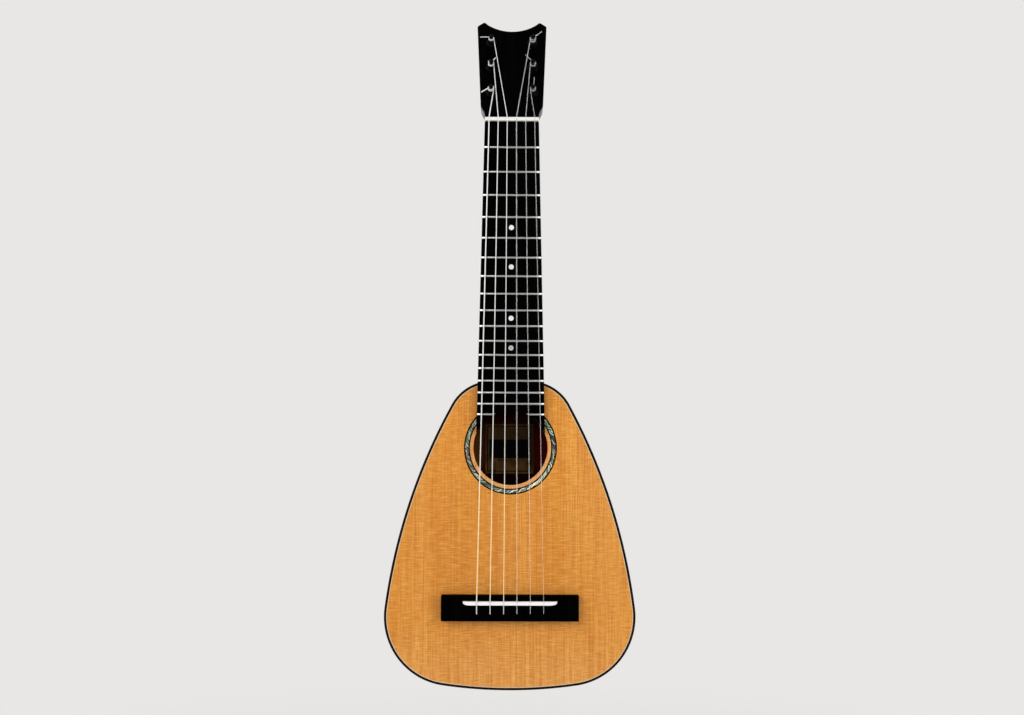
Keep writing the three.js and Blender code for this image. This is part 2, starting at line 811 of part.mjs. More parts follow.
function makePost(radius, holeAngle) {
  const ease = postRadius - waistRadius;
  const carrierFront = cavityFront + seam;
  const post = turned([
    [0, -postHeight],
    [postRadius, -postHeight],
    [postRadius, postCapHeight - postHeight],
    [waistRadius, postCapHeight - postHeight],
    [waistRadius, waistFloor - ease],
    [postRadius, waistFloor],
    [postRadius, carrierFront],
    [carrierRadius, carrierFront],
    [carrierRadius, carrierFront + carrierDepth],
    [0, carrierFront + carrierDepth],
  ]);
  const drill = new THREE.CylinderGeometry(radius, radius, 2 * overrun, barrelSides);
  drill.rotateZ(Math.PI / 2);
  drill.rotateY(-holeAngle);
  drill.translate(0, -postHoleHeight, 0);
  return post.subtract(solidOf(drill));
}

function makeButton() {
  const sunFront = cavityFront + carrierDepth + 2 * seam;
  const knobY = caseBack + buttonNeck + buttonHalfHeight;
  const shaft = turned([
    [0, sunFront],
    [sunRadius, sunFront],
    [sunRadius, sunFront + sunDepth],
    [buttonShaftRadius, sunFront + sunDepth],
    [buttonShaftRadius, knobY],
    [0, knobY],
  ]);
  const knob = new THREE.SphereGeometry(1, buttonSides, buttonRings);
  knob.scale(buttonHalfWidth, buttonHalfHeight, buttonHalfThickness);
  knob.translate(0, knobY, 0);
  return shaft.add(solidOf(knob));
}

// A string's winding, in the head's own axes: it meets the post at a tangent, climbs turn by turn,
// rounds into the post's hole, crosses it and ends in a short tag
function windingOf(string, peg, start) {
  const radius = stringRadius(string);
  const wrap = waistRadius + seam + radius;
  const approach = new THREE.Vector2(peg.x - start.x, peg.v - start.z);
  const turn = -peg.sign;
  const heading = Math.atan2(approach.y, approach.x) - turn * Math.asin(wrap / approach.length());
  const first = heading - (turn * Math.PI) / 2;
  const entry = radians(string.tagAngle) + Math.PI;
  const bend = radius + cornerClearance;
  const bendAngle = Math.asin(bend / (wrap - bend));
  const full = 2 * Math.PI;
  const part = (((turn * (entry - first)) % full) + full) % full;
  const sweep = part + full * string.whole - bendAngle;
  const lastClimb = Math.PI - bendAngle;
  const pitch = 2 * radius + turnGap;
  const heightAt = (angle) => {
    const steady = Math.min(angle, sweep - lastClimb) / full;
    const steep = Math.max(angle - sweep + lastClimb, 0) / lastClimb;
    return pitch * (steady + steep);
  };
  const low = postHoleHeight - heightAt(sweep);
  const around = (middle, angle, distance, height) => {
    const x = middle.x + distance * Math.cos(angle);
    return new THREE.Vector3(x, -height, middle.y + distance * Math.sin(angle));
  };
  const post = new THREE.Vector2(peg.x, peg.v);
  const cornerAngle = entry - turn * bendAngle;
  const corner = new THREE.Vector2(Math.cos(cornerAngle), Math.sin(cornerAngle));
  corner.multiplyScalar(wrap - bend).add(post);
  const points = [];
  const steps = Math.ceil((turnSteps * sweep) / full);
  for (let i = 0; i <= steps; i += 1) {
    const angle = (sweep * i) / steps;
    points.push(around(post, first + turn * angle, wrap, low + heightAt(angle)));
  }
  for (let i = 1; i <= cornerSteps; i += 1) {
    const swung = ((Math.PI / 2 + bendAngle) * i) / cornerSteps;
    points.push(around(corner, cornerAngle + turn * swung, bend, postHoleHeight));
  }
  points.push(around(post, entry + Math.PI, wrap, postHoleHeight));
  const tagReach = wrap + tagLength * string.tagShare;
  points.push(around(post, entry + Math.PI, tagReach, postHoleHeight));
  return points;
}

// A string's whole route: knot, bridge, saddle, nut and winding
function routeOf(string, peg) {
  const x = bridgePlace(string);
  const radius = stringRadius(string);
  const overSaddle = saddleTopY - seam - radius;
  const knotFront = innerTopY + plateThickness + seam;
  const exitY = bridgeTopY - radius - exitRise;
  const corner = new THREE.Vector3(x, exitY, stringHoleZ);
  const saddleBack = new THREE.Vector3(x, overSaddle, saddleZ - saddleLength / 2);
  const onward = saddleBack.clone().sub(corner).normalize();
  const route = [
    new THREE.Vector3(x, knotFront + knotLength, stringHoleZ),
    new THREE.Vector3(x, knotFront + knotLength * knotEdgeShares[1], stringHoleZ),
    new THREE.Vector3(x, knotFront + knotLength * knotEdgeShares[0], stringHoleZ),
    new THREE.Vector3(x, knotFront, stringHoleZ),
  ];
  const into = new THREE.Vector3(x, exitY + exitBend, stringHoleZ);
  const out = corner.clone().addScaledVector(onward, exitBend);
  const curve = new THREE.QuadraticBezierCurve3(into, corner, out);
  route.push(...curve.getPoints(cornerSteps));
  route.push(saddleBack);
  route.push(new THREE.Vector3(x, overSaddle, saddleZ + saddleLength / 2));
  route.push(new THREE.Vector3(nutPlace(string), stringLineY, 0));
  const nutExit = new THREE.Vector3(nutPlace(string), stringLineY, nutBackZ);
  route.push(nutExit);
  const start = nutExit.clone().applyMatrix4(headPlace.clone().invert());
  const winding = windingOf(string, peg, start);
  route.push(...winding.map((point) => point.applyMatrix4(headPlace)));
  const radii = route.map(() => radius);
  radii[1] = knotRadius;
  radii[2] = knotRadius;
  return { route, radii };
}

// Least gap of a tube to itself, between points and stretches that lie apart along the route
function leastGap(route, radius) {
  const along = [0];
  for (let i = 1; i < route.length; i += 1) {
    along.push(along[i - 1] + route[i].distanceTo(route[i - 1]));
  }
  const apart = 2 * (waistRadius + radius);
  let least = Infinity;
  const nearest = new THREE.Vector3();
  route.forEach((point, i) => {
    for (let k = 0; k + 1 < route.length; k += 1) {
      if (along[k] - along[i] > apart || along[i] - along[k + 1] > apart) {
        new THREE.Line3(route[k], route[k + 1]).closestPointToPoint(point, true, nearest);
        least = Math.min(least, nearest.distanceTo(point) - 2 * radius);
      }
    }
  });
  return least;
}

strings.forEach((string, i) => {
  const peg = pegs[i];
  const { route, radii } = routeOf(string, peg);
  const gap = leastGap(route, stringRadius(string)).toFixed(2);
  console.log(`string_${string.name}: least gap to itself ${gap} mm`);
  add(`string_${string.name}`, tube(route, radii), i < woundCount ? wound : clear);
  const place = new THREE.Group();
  place.position.set(peg.x, 0, peg.v);
  head.add(place);
  const post = makePost(stringRadius(string) + holeSlack, radians(string.tagAngle));
  add(`peg_${string.name}_housing`, geometryOf(makeHousing()), blackMetal, place);
  add(`peg_${string.name}_post`, geometryOf(post), blackMetal, place);
  add(`peg_${string.name}_button`, geometryOf(makeButton()), blackMetal, place);
});

export default guitar;
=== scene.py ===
import math
from collections import namedtuple
from contextlib import contextmanager

import bmesh
import bpy
from mathutils import Matrix, Vector
from mathutils.geometry import tessellate_polygon


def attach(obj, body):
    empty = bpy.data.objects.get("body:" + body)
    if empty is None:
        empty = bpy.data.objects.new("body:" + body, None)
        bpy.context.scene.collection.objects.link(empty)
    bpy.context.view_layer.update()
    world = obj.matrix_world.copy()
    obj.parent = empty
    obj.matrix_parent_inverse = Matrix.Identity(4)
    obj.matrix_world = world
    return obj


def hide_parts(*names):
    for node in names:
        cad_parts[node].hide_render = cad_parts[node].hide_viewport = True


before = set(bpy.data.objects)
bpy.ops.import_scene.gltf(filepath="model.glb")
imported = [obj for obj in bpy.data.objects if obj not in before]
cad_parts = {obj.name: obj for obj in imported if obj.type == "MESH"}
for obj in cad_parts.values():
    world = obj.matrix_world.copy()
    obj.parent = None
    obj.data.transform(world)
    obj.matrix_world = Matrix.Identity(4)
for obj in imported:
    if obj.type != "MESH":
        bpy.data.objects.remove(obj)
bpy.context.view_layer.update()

MM = 0.001
TAU = 2 * math.pi
MERGE = 1e-7

# Sizes of the guitar in millimetres: Z runs up the neck from the nut, and Y back from the soundboard's face
SCALE_LENGTH = 431.8
FRET_COUNT = 17
JOIN_FRET = 14
SADDLE_SETBACK = 8.2
TAIL_LENGTH = 80

# The gaps between moving pieces, and between pieces that only touch
SEAM = 0.3
SLIP = 0.02

# Body: each bend of its outline has a radius, its first and last heading in degrees, and its steps
BOTTOM_BEND = (427, 0, 8.2, 10)
BOUT_BEND = (62.5, 8.2, 97.3, 60)
FLANK_HEADINGS = (97.3, 118.6, 20)
SHOULDER_BEND = (41.6, 118.6, 180, 48)
DEPTH_AT_NECK = 64
DEPTH_AT_TAIL = 72
TOP_THICKNESS = 2.4
BACK_THICKNESS = 2.6
SIDE_THICKNESS = 2
BINDING_WIDTH = 2.3
BINDING_DEPTH = 5
PURFLING_WIDTH = 0.6
PURFLING_DEPTH = 1.5
EDGE_ROUND = 0.7
EDGE_STEPS = 5
HOLE_RADIUS = 34
HOLE_DROP = 30.7
HOLE_SIDES = 120
CHANNEL_INSIDE = 37.2
LINE_INSIDE = 37.22
SHELL_INSIDE = 38.5
SHELL_OUTSIDE = 41.25
LINE_OUTSIDE = 42.55
CHANNEL_OUTSIDE = 42.6
CHANNEL_DEPTH = 1.2
RING_DEPTH = 1.1
LABEL = (-24.4, 22.9, -328.9, -280.2)
LABEL_THICKNESS = 0.25

# Fretboard, frets and nut: a fret's end rises to its full height over a short run
BOARD_THICKNESS = 6
BOARD_PAST_LAST_FRET = 17
BOARD_CORNER = 1.5
BOARD_EDGE = 0.3
LAST_FRET_WIDTH = 61.8
FRET_TOP = -7.15
FRET_INSET = 0.15
FRET_GAP_AT_HOLE = 0.25
FRET_END = [(0, 0.25), (0.35, 0.8), (0.7, 1)]
CROWN_WIDTH = 2
CROWN_STEPS = 12
TANG_WIDTH = 0.5
TANG_DEPTH = 1.6
DOT_FRETS = (5, 7, 10, 12)
DOT_PROFILE = [(0, -0.06), (2.1, -0.05), (2.35, -0.01), (2.35, 1), (0, 1)]
NUT_WIDTH = 50
NUT_LENGTH = 3.2
NUT_EDGE = 0.5
NUT_SLIP = 0.03
NUT_CUT_PAST = 3
NUT_SLOT_SLACK = 0.04
NUT_SLOT_STEPS = 10

# Neck and head: a cheek is the head's low side, in shares of how far it flares and rises
HEAD_TILT = 13
HEAD_DROP = 2.4
HEAD_THICKNESS = 13
HEAD_BASE_HALF = 25.2
HEAD_LOW_HALF = 29.1
HEAD_LOW_V = 14.2
HEAD_TOP = (32.9, 97.5)
HEAD_CORNER = 1.8
HORN = (26.5, 102)
HORN_SLOPE = (4, 2.2)
HORN_TIP = 2.5
SCOOP_V = 92.1
SCOOP_STEPS = 28
VENEER = 2
VENEER_BASE_V = 0.75
VENEER_EDGE = 0.25
FACE_CHEEK = [
    (-0.1, 0), (-0.08, 0.14), (-0.04, 0.28), (0.03, 0.4), (0.18, 0.53),
    (0.4, 0.66), (0.67, 0.8), (0.87, 0.91), (1, 1),
]
WOOD_CHEEK = [
    (0, 0), (0.3, 0.12), (0.56, 0.26), (0.76, 0.39), (0.84, 0.53), (0.88, 0.66), (0.93, 0.8), (1, 1),
]
CHEEK_DRAFT = 6
CHEEK_STEPS = 24
CHEEK_TONGUE = 3
TONGUE_INSET = 0.5
JOINT_INSET = 0.005
JOINT_OVERLAP = 0.1
HEAD_ROUND = 0.2
NECK_SIDES = 40
SIDE_STEPS = 9
ROUND_STEPS = 3
NECK_STATIONS = [0, -30, -80, -120, -160]
NECK_DEPTH_AT_NUT = 15
NECK_DEPTH_AT_HEEL = 17.5
NECK_FULLNESS = 0.85
NECK_TENON = 6
HEEL_LENGTH = 34
HEEL_EASE = 12
HEEL_STEPS = 22
HEEL_FIT = 0.001
HEEL_CAP = 60
HEEL_CAP_THICKNESS = 1.8
HEEL_SWEEP = 110
HEEL_END_SHARE = 0.985
HEEL_FULLNESS = 1.6

# Bridge and saddle
BRIDGE_HALF = 62.3
BRIDGE_LENGTH = 22.7
BRIDGE_TOP = -8
BRIDGE_TENON = 3
BRIDGE_EDGE = 0.5
SADDLE_HALF = 42.6
SADDLE_LENGTH = 3.3
SADDLE_PROUD = 3.4
SADDLE_FLOOR = -3.95
SADDLE_FROM_FRONT = 6.3
SADDLE_SHOULDER = 8
SADDLE_NOSE = 6.5
SADDLE_NOSE_CUT = 1.9
SADDLE_NOSE_STEPS = 12
SADDLE_ROUND = 0.65
SADDLE_ROUND_STEPS = 8
HOLES_FROM_SADDLE = 9.6

# Strings: places across the nut and the saddle are shares of half of each, and a tag is a cut end
String = namedtuple("String", "name radius at_nut at_bridge row turns tag tag_share")
STRINGS = [
    String("e_low", 0.55, -0.84, -0.704, 0, 2, 210, 1),
    String("a", 0.451, -0.504, -0.42, 1, 2, 42, 0.45),
    String("d", 0.38, -0.17, -0.134, 2, 1, 178, 1),
    String("g", 0.5, 0.17, 0.146, 2, 2, 34, 1),
    String("b", 0.4125, 0.508, 0.43, 1, 2, 130, 1),
    String("e_high", 0.352, 0.84, 0.711, 0, 2, 80, 1),
]
WOUND = ("e_low", "a", "d")
WINDING_PITCH = 0.22
STRING_OVER_FRETS = 1.3
STRING_IN_NUT = 0.15
STRING_HOLE_SLACK = 0.4
STRING_ON_SADDLE = 0.05
STRING_LEAVES_SADDLE = 0.1
STRING_MEETS_SADDLE = 0.12
SADDLE_RUN = 0.5
BEHIND_SADDLE_DROP = 0.8
BEND_REACH = 1.2
BEND_STEPS = 8
BRIDGE_PLATE_THICKNESS = 2.5
KNOT_GAP = 0.05
KNOT = [(3.2, 0.6), (3.0, 1.1), (2.5, 1.6), (1.8, 1.7), (1.0, 1.6), (0.4, 1.1), (0.1, 0)]
CORNER_CLEARANCE = 0.35
CORNER_STEPS = 8
TURN_GAP = 0.6
TURN_STEPS = 48
TAG_LENGTH = 8
TAG_BEND = 0.5
TAG_STEPS = 6

# The strand goes on round its post past where the winding starts, so that they meet when the post turns
COIL_LAG = math.radians(50)
STRAND_REACH = math.radians(110)
REACH_STEPS = 22
REACH_TAPER = 0.9

# Pegs: profiles are (radius, y) from the head's face, the case's front or rear, the post's tip or the knob
PEG_OFFSET = 19.5
PEG_FIRST = 27
PEG_PITCH = 26.15
PEG_BORE = 4.05
POST_RADIUS = 2.15
WAIST_RADIUS = 1.65
POST_HEIGHT = 12
POST_HOLE = 10.3
POST_HOLE_SLACK = 0.3
COLLAR = 2
CASE_FRONT = HEAD_THICKNESS + SEAM
CASE_REAR = CASE_FRONT + 12
KNOB_HALF_LENGTH = 7
KNOB_HALF_WIDTH = 8.5
KNOB_HALF_THICKNESS = 3.4
KNOB_GAP = 3
KNOB_Y = CASE_REAR + KNOB_GAP + KNOB_HALF_LENGTH
KNOB_STEPS = 24
KNOB_SIDES = 40
PEG_NUT_RADIUS = 5.15
PEG_NUT_HOLE = 2.5
PEG_NUT_SEAT = -0.62
PEG_NUT_TURN = 0.3
COLLAR_FRONT = [(2.45, -0.6), (5.1, -0.6), (5.2, -0.5), (5.2, -0.02), (4, 0)]
CASE_SHELL = [
    (4, -0.6), (5.6, -0.28), (7.2, -0.25), (7.5, 0.1), (7.5, 2.6), (7.3, 2.8), (7.3, 3.4), (7.5, 3.6),
]
CASE_END = [
    (7.5, -1.5), (7.3, -0.9), (6.8, -0.4), (6.1, -0.1), (5.2, 0), (2.3, 0), (2.3, -1.6), (5.9, -1.6),
]
CASE_HOLLOW = [(5.9, 1.6), (2.45, 1.6)]
POST_TIP = [
    (0, 0), (1.5, 0.03), (1.9, 0.12), (2.1, 0.3),
    (POST_RADIUS, 0.45), (POST_RADIUS, 0.65), (WAIST_RADIUS, 0.8),
]
POST_WAIST = [(WAIST_RADIUS, -0.7), (POST_RADIUS, -0.3)]
POST_GEAR = [(POST_RADIUS, 1.9), (5, 1.9), (5, 4.9), (0, 4.9)]
AXLE_GEAR = [(0, 5.3), (3.2, 5.3), (3.2, 8.3), (2, 8.3)]
AXLE_NECK = [(2, 0.6), (3.1, 0.7), (3.3, 1), (3.1, 1.6), (2.2, 3.2)]
AXLE_END = [(1.9, -3), (0, -3)]

# How far the cutting tools reach past what they cut
CUT_PAST = 5
CUT_DEEP = 10
CUT_FAR = 20
CUT_WIDE = 80
CUT_HEAD = 150


def fret_at(number):
    return -SCALE_LENGTH * (1 - 2 ** (-number / 12))


def rise_share(first, last):
    return math.cos(math.radians(first)) - math.cos(math.radians(last))


BODY_TOP = fret_at(JOIN_FRET)
SADDLE_Z = -SCALE_LENGTH - SADDLE_SETBACK
TAIL = SADDLE_Z - TAIL_LENGTH
BODY_LENGTH = BODY_TOP - TAIL
other_bends = [BOTTOM_BEND, BOUT_BEND, SHOULDER_BEND]
flank_rise = BODY_LENGTH - sum(bend[0] * rise_share(*bend[1:3]) for bend in other_bends)
FLANK_BEND = (flank_rise / rise_share(*FLANK_HEADINGS[:2]), *FLANK_HEADINGS)
BENDS = [BOTTOM_BEND, BOUT_BEND, FLANK_BEND, SHOULDER_BEND]
HOLE_Z = fret_at(FRET_COUNT) - HOLE_DROP
BOARD_END = fret_at(FRET_COUNT) - BOARD_PAST_LAST_FRET
NUT_BACK = SEAM + NUT_LENGTH
BRIDGE_FRONT = SADDLE_Z + SADDLE_FROM_FRONT
BRIDGE_BACK = BRIDGE_FRONT - BRIDGE_LENGTH
STRING_HOLES_Z = SADDLE_Z - HOLES_FROM_SADDLE
SADDLE_TOP = BRIDGE_TOP - SADDLE_PROUD
STRING_LINE = FRET_TOP - STRING_OVER_FRETS
NUT_TOP = STRING_LINE - STRING_IN_NUT
HEAD = Matrix.Translation((0, -HEAD_DROP, NUT_BACK)) @ Matrix.Rotation(-math.radians(HEAD_TILT), 4, "X")


def back_face(z):
    return DEPTH_AT_NECK + (DEPTH_AT_TAIL - DEPTH_AT_NECK) * (BODY_TOP - z) / BODY_LENGTH


def board_half(z):
    return (NUT_WIDTH + (LAST_FRET_WIDTH - NUT_WIDTH) * z / fret_at(FRET_COUNT)) / 2


def sweep(angle, steps):
    """Angles from zero to the given one in equal steps."""
    return [angle * i / steps for i in range(steps + 1)]


def quarter(steps):
    return sweep(math.pi / 2, steps)


def circle(radius, steps, turn=0):
    return [(radius * math.cos(a + turn), radius * math.sin(a + turn)) for a in sweep(TAU, steps)[:-1]]


def curve(start, corner, end, t):
    """The point at share t of a curve that leaves its start and meets its end towards the corner."""
    return (1 - t) ** 2 * start + 2 * t * (1 - t) * corner + t * t * end


# Materials


def rgb(red, green, blue):
    def linear(value):
        share = value / 255
        return share / 12.92 if share <= 0.04045 else ((share + 0.055) / 1.055) ** 2.4

    return (linear(red), linear(green), linear(blue), 1)


class Graph:
    """The nodes of a material or world; most methods add a node and return its output socket."""

    def __init__(self, owner):
        owner.use_nodes = True
        self.owner = owner
        self.tree = owner.node_tree

    def put(self, socket, value):
        if isinstance(value, bpy.types.NodeSocket):
            self.tree.links.new(value, socket)
        else:
            socket.default_value = value

    def node(self, kind, inputs, **settings):
        """Adds a node; its inputs are given by name or number, as values or as other nodes' sockets."""
        node = self.tree.nodes.new("ShaderNode" + kind)
        for key, value in settings.items():
            setattr(node, key, value)
        for key, value in inputs.items():
            self.put(node.inputs[key], value)
        return node.outputs

    def object_place(self):
        return self.node("TexCoord", {})["Object"]

    def math(self, kind, first, second=0.0, third=0.0, clamp=False):
        return self.node("Math", {0: first, 1: second, 2: third}, operation=kind, use_clamp=clamp)[0]

    def fit(self, value, low, high, to_low=0.0, to_high=1.0):
        return self.node("MapRange", {0: value, 1: low, 2: high, 3: to_low, 4: to_high})[0]

    def seen_by(self, *rays):
        """One for rays of these kinds, and zero for others."""
        path = self.node("LightPath", {})
        share = path[rays[0]]
        for ray in rays[1:]:
            share = self.math("ADD", share, path[ray], clamp=True)
        return share


class Surface(Graph):
    """A material around one main shader, drawn in the object's own axes."""

    def __init__(self, name, **values):
        super().__init__(bpy.data.materials.new(name))
        self.shader = self.tree.nodes["Principled BSDF"]
        for key, value in values.items():
            self.shader.inputs[key.replace("_", " ")].default_value = value
        self.place = self.object_place()

    def across_and_up(self):
        x, _, z = self.node("SeparateXYZ", {0: self.place})
        return x, z

    def noise(self, scale, detail=3, roughness=0.55, distortion=0, shift=(0, 0, 0)):
        place = self.node("Mapping", {"Vector": self.place, "Scale": scale, "Location": shift})[0]
        look = {"Scale": 1, "Detail": detail, "Roughness": roughness, "Distortion": distortion}
        return self.node("TexNoise", {"Vector": place, **look})["Fac"]

    def ramp(self, value, *stops):
        color_ramp = self.tree.nodes.new("ShaderNodeValToRGB")
        self.put(color_ramp.inputs[0], value)
        elements = color_ramp.color_ramp.elements
        elements[0].position, elements[0].color = stops[0]
        elements[1].position, elements[1].color = stops[-1]
        for position, color in stops[1:-1]:
            elements.new(position).color = color
        return color_ramp.outputs["Color"]

    def mix(self, share, first, second):
        return self.node("Mix", {0: share, 6: first, 7: second}, data_type="RGBA")[2]

    def layer(self, base, value, low, high, share, tone):
        """Lays a tone over the base where the value nears the second of two bounds."""
        return self.mix(self.fit(value, low, high, 0, share), base, tone)

    def span(self, base, value, first, last, share, tone):
        """Lays a tone over the base between two places in millimetres and past the second."""
        return self.layer(base, value, first * MM, last * MM, share, tone)

    def bump(self, height, distance, strength=1.0):
        bumped = self.node("Bump", {"Strength": strength, "Distance": distance, "Height": height})[0]
        self.put(self.shader.inputs["Normal"], bumped)

    def color(self, value):
        self.put(self.shader.inputs["Base Color"], value)

    def rough(self, value, rough_low, rough_high, low=0.3, high=0.7):
        self.put(self.shader.inputs["Roughness"], self.fit(value, low, high, rough_low, rough_high))

# Where tones set in and where they are full, in millimetres; the first is a distance from the bridge.
# NECK_SHADE, LOW_SHADE and SHELL_SHADE are painted shade, the brown tone on the back's left is a painted
# pool of light, and the fret-end tone is a painted highlight.
BRIDGE_TONE = (170, 50)
TAIL_TONE = (-458, -500)
LIT_CRESCENT_TONE = (-24, -34)
NECK_SHADE = (-295, -272)
LOW_SHADE = (-318, -331)
SHELL_SHADE = (-24, -36)
FRET_END_HIGHLIGHT = (3.4, 2)
CENTRE_STRIP = 1.1
CENTRE_LINE = 1.7
SHELL_STROKES = 60
SHELL_STROKE_PITCH = 2.2
WAVE_LENGTH = 0.31


def from_hole(g):
    """Across, up and the squared distance from the middle of the soundhole."""
    x, z = g.across_and_up()
    rise = g.math("SUBTRACT", z, HOLE_Z * MM)
    return x, rise, g.math("ADD", g.math("MULTIPLY", x, x), g.math("MULTIPLY", rise, rise))


def spruce_material():
    g = Surface("spruce", Coat_Weight=0.25, Coat_Roughness=0.18, Specular_IOR_Level=0.3)
    patches = g.noise((24, 10, 10), 3, 0.5, shift=(9, 2, 4))
    base = g.mix(g.fit(patches, 0.3, 0.7), rgb(233, 150, 36), rgb(246, 168, 54))
    far = g.node("VectorMath", {0: g.place, 1: (0, 0, BRIDGE_FRONT * MM)}, operation="DISTANCE")["Value"]
    base = g.span(base, far, *BRIDGE_TONE, 0.6, rgb(206, 126, 24))
    base = g.span(base, g.across_and_up()[1], *TAIL_TONE, 0.4, rgb(242, 186, 120))
    base = g.layer(base, g.noise((34, 10, 1), 2, 0.5, shift=(1, 3, 0)), 0.46, 0.66, 0.4, rgb(255, 188, 92))
    base = g.layer(base, g.noise((70, 20, 1.6), 3, 0.5), 0.4, 0.65, 0.4, rgb(222, 138, 40))
    inside_rosette = g.math("LESS_THAN", from_hole(g)[2], (CHANNEL_INSIDE * MM) ** 2)
    base = g.mix(g.math("MULTIPLY", inside_rosette, 0.7), base, rgb(240, 186, 134))
    lines = g.noise((640, 60, 9), 2, 0.6)
    base = g.layer(base, lines, 0.42, 0.66, 0.75, rgb(200, 116, 28))
    fine = g.noise((1100, 60, 60), 2, 0.6, shift=(2, 0, 3))
    base = g.layer(base, fine, 0.42, 0.68, 0.5, rgb(190, 106, 24))
    silk = g.noise((90, 30, 900), 2, 0.6, shift=(3, 0, 1))
    base = g.layer(base, silk, 0.44, 0.7, 0.42, rgb(255, 198, 104))
    shadows = g.noise((80, 30, 980), 2, 0.6, shift=(7, 0, 5))
    g.color(g.layer(base, shadows, 0.48, 0.7, 0.45, rgb(190, 106, 24)))
    g.rough(lines, 0.36, 0.46)
    g.bump(lines, 0.00004)
    return g.owner


def red_wood(name, scale, tones, coat=0.3):
    """Dark figured wood in three tones; returns its nodes and its colour."""
    dark, mid, light = (rgb(*tone) for tone in tones)
    g = Surface(name, Coat_Weight=coat, Coat_Roughness=0.08, Specular_IOR_Level=0.35)
    figure = g.noise(scale, 5, 0.6, 0.4)
    pores = g.noise(tuple(12 * v if v > 20 else 4 * v for v in scale), 2, 0.7, shift=(5, 1, 2))
    base = g.layer(g.ramp(figure, (0.3, dark), (0.52, mid), (0.72, light)), pores, 0.5, 0.75, 0.6, dark)
    g.color(base)
    g.rough(figure, 0.4, 0.3)
    g.bump(pores, 0.00005, 0.5)
    return g, base


def back_material():
    """Dark wood with a pale strip between black lines down the middle."""
    g, base = red_wood("back_wood", (60, 60, 2.2), [(30, 13, 10), (62, 26, 18), (96, 44, 28)])
    half = g.math("ABSOLUTE", g.across_and_up()[0])
    for reach, tone in ((CENTRE_LINE, rgb(14, 10, 9)), (CENTRE_STRIP, rgb(150, 100, 55))):
        base = g.mix(g.math("LESS_THAN", half, reach * MM), base, tone)
    g.color(base)
    return g.owner


def bare_material():
    """The unfinished inner face of the back, browner in its left half where a pool of light is painted, and
    darker towards both ends with painted shade.
    """
    g = Surface("bare_back", Specular_IOR_Level=0.05)
    figure = g.noise((60, 60, 2.2), 4, 0.6)
    x, z = g.across_and_up()
    red = g.ramp(figure, (0.3, rgb(58, 6, 6)), (0.7, rgb(112, 20, 16)))
    # Painted light: the brown crescent on the left is the pool of light that falls on the back through the
    # soundhole
    lit_crescent = g.ramp(figure, (0.3, rgb(120, 70, 22)), (0.7, rgb(164, 108, 44)))
    base = g.span(red, x, *LIT_CRESCENT_TONE, 1, lit_crescent)
    # Painted shade: darker towards the neck for the shadow of the neck and fretboard, and darker towards
    # the hole's lower rim
    base = g.span(base, z, *NECK_SHADE, 0.9, rgb(14, 3, 3))
    g.color(g.span(base, z, *LOW_SHADE, 0.85, rgb(10, 3, 3)))
    g.rough(figure, 0.8, 0.7)
    return g.owner


def ebony_material(name, roughness):
    g = Surface(name, Specular_IOR_Level=0.008)
    streaks = g.noise((260, 90, 6), 4, 0.6, 0.3)
    g.color(g.ramp(streaks, (0.35, rgb(0, 0, 1)), (0.6, rgb(2, 2, 2)), (0.8, rgb(12, 8, 7))))
    g.rough(streaks, roughness, roughness + 0.12, high=0.8)
    g.bump(streaks, 0.00004, 0.4)
    return g.owner


def cloudy_material(name, scale, detail, softness, stops, rough_low, rough_high, relief=0, **values):
    """A material whose tone and roughness follow one noise."""
    g = Surface(name, **values)
    cloud = g.noise(scale, detail, softness)
    g.color(g.ramp(cloud, *stops))
    g.rough(cloud, rough_low, rough_high)
    if relief:
        g.bump(cloud, relief, 0.6)
    return g.owner


def pale_wood_material(name, scale, dark, light):
    stops = (0.3, dark), (0.7, light)
    return cloudy_material(name, scale, 3, 0.6, stops, 0.7, 0.6, 0.0001, Specular_IOR_Level=0.3)


def bone_material(name, tone, shade):
    stops = (0.3, shade), (0.65, tone)
    return cloudy_material(name, (240, 240, 240), 4, 0.6, stops, 0.42, 0.3, Specular_IOR_Level=0.4)


def gloss_black_material(name, tone, rough, level):
    stops = (0.3, rgb(tone, tone, tone)), (0.75, rgb(tone + 6, tone + 6, tone + 6))
    scale = (400, 400, 400)
    return cloudy_material(name, scale, 3, 0.55, stops, rough, rough + 0.1, Specular_IOR_Level=level)


def fret_material():
    """Metal with a painted highlight at the frets' ends, at both edges of the fretboard."""
    g = Surface("fret_wire", Metallic=1.0)
    marks = g.noise((90, 2500, 2500), 2, 0.6)
    base = g.ramp(marks, (0.3, rgb(166, 166, 164)), (0.7, rgb(190, 190, 187)))
    x, z = g.across_and_up()
    board_edge = g.fit(z, 0, fret_at(FRET_COUNT) * MM, NUT_WIDTH / 2 * MM, LAST_FRET_WIDTH / 2 * MM)
    from_edge = g.math("SUBTRACT", board_edge, g.math("ABSOLUTE", x))
    # Painted highlight: near-white towards each fret's ends
    g.color(g.span(base, from_edge, *FRET_END_HIGHLIGHT, 1, rgb(252, 252, 251)))
    g.rough(marks, 0.2, 0.34)
    return g.owner


def painted_wood_glow(g, base, share, tone):
    """Painted reflection: a string takes on the wood's warm colour where it crosses the soundboard, for the
    light that the wood bounces onto it.
    """
    z = g.across_and_up()[1]
    past_hole = g.fit(z, (HOLE_Z - HOLE_RADIUS) * MM, (HOLE_Z - CHANNEL_INSIDE) * MM, 0, share)
    over_wood = g.math("MULTIPLY", past_hole, g.math("GREATER_THAN", z, BRIDGE_FRONT * MM))
    return g.mix(over_wood, base, tone)


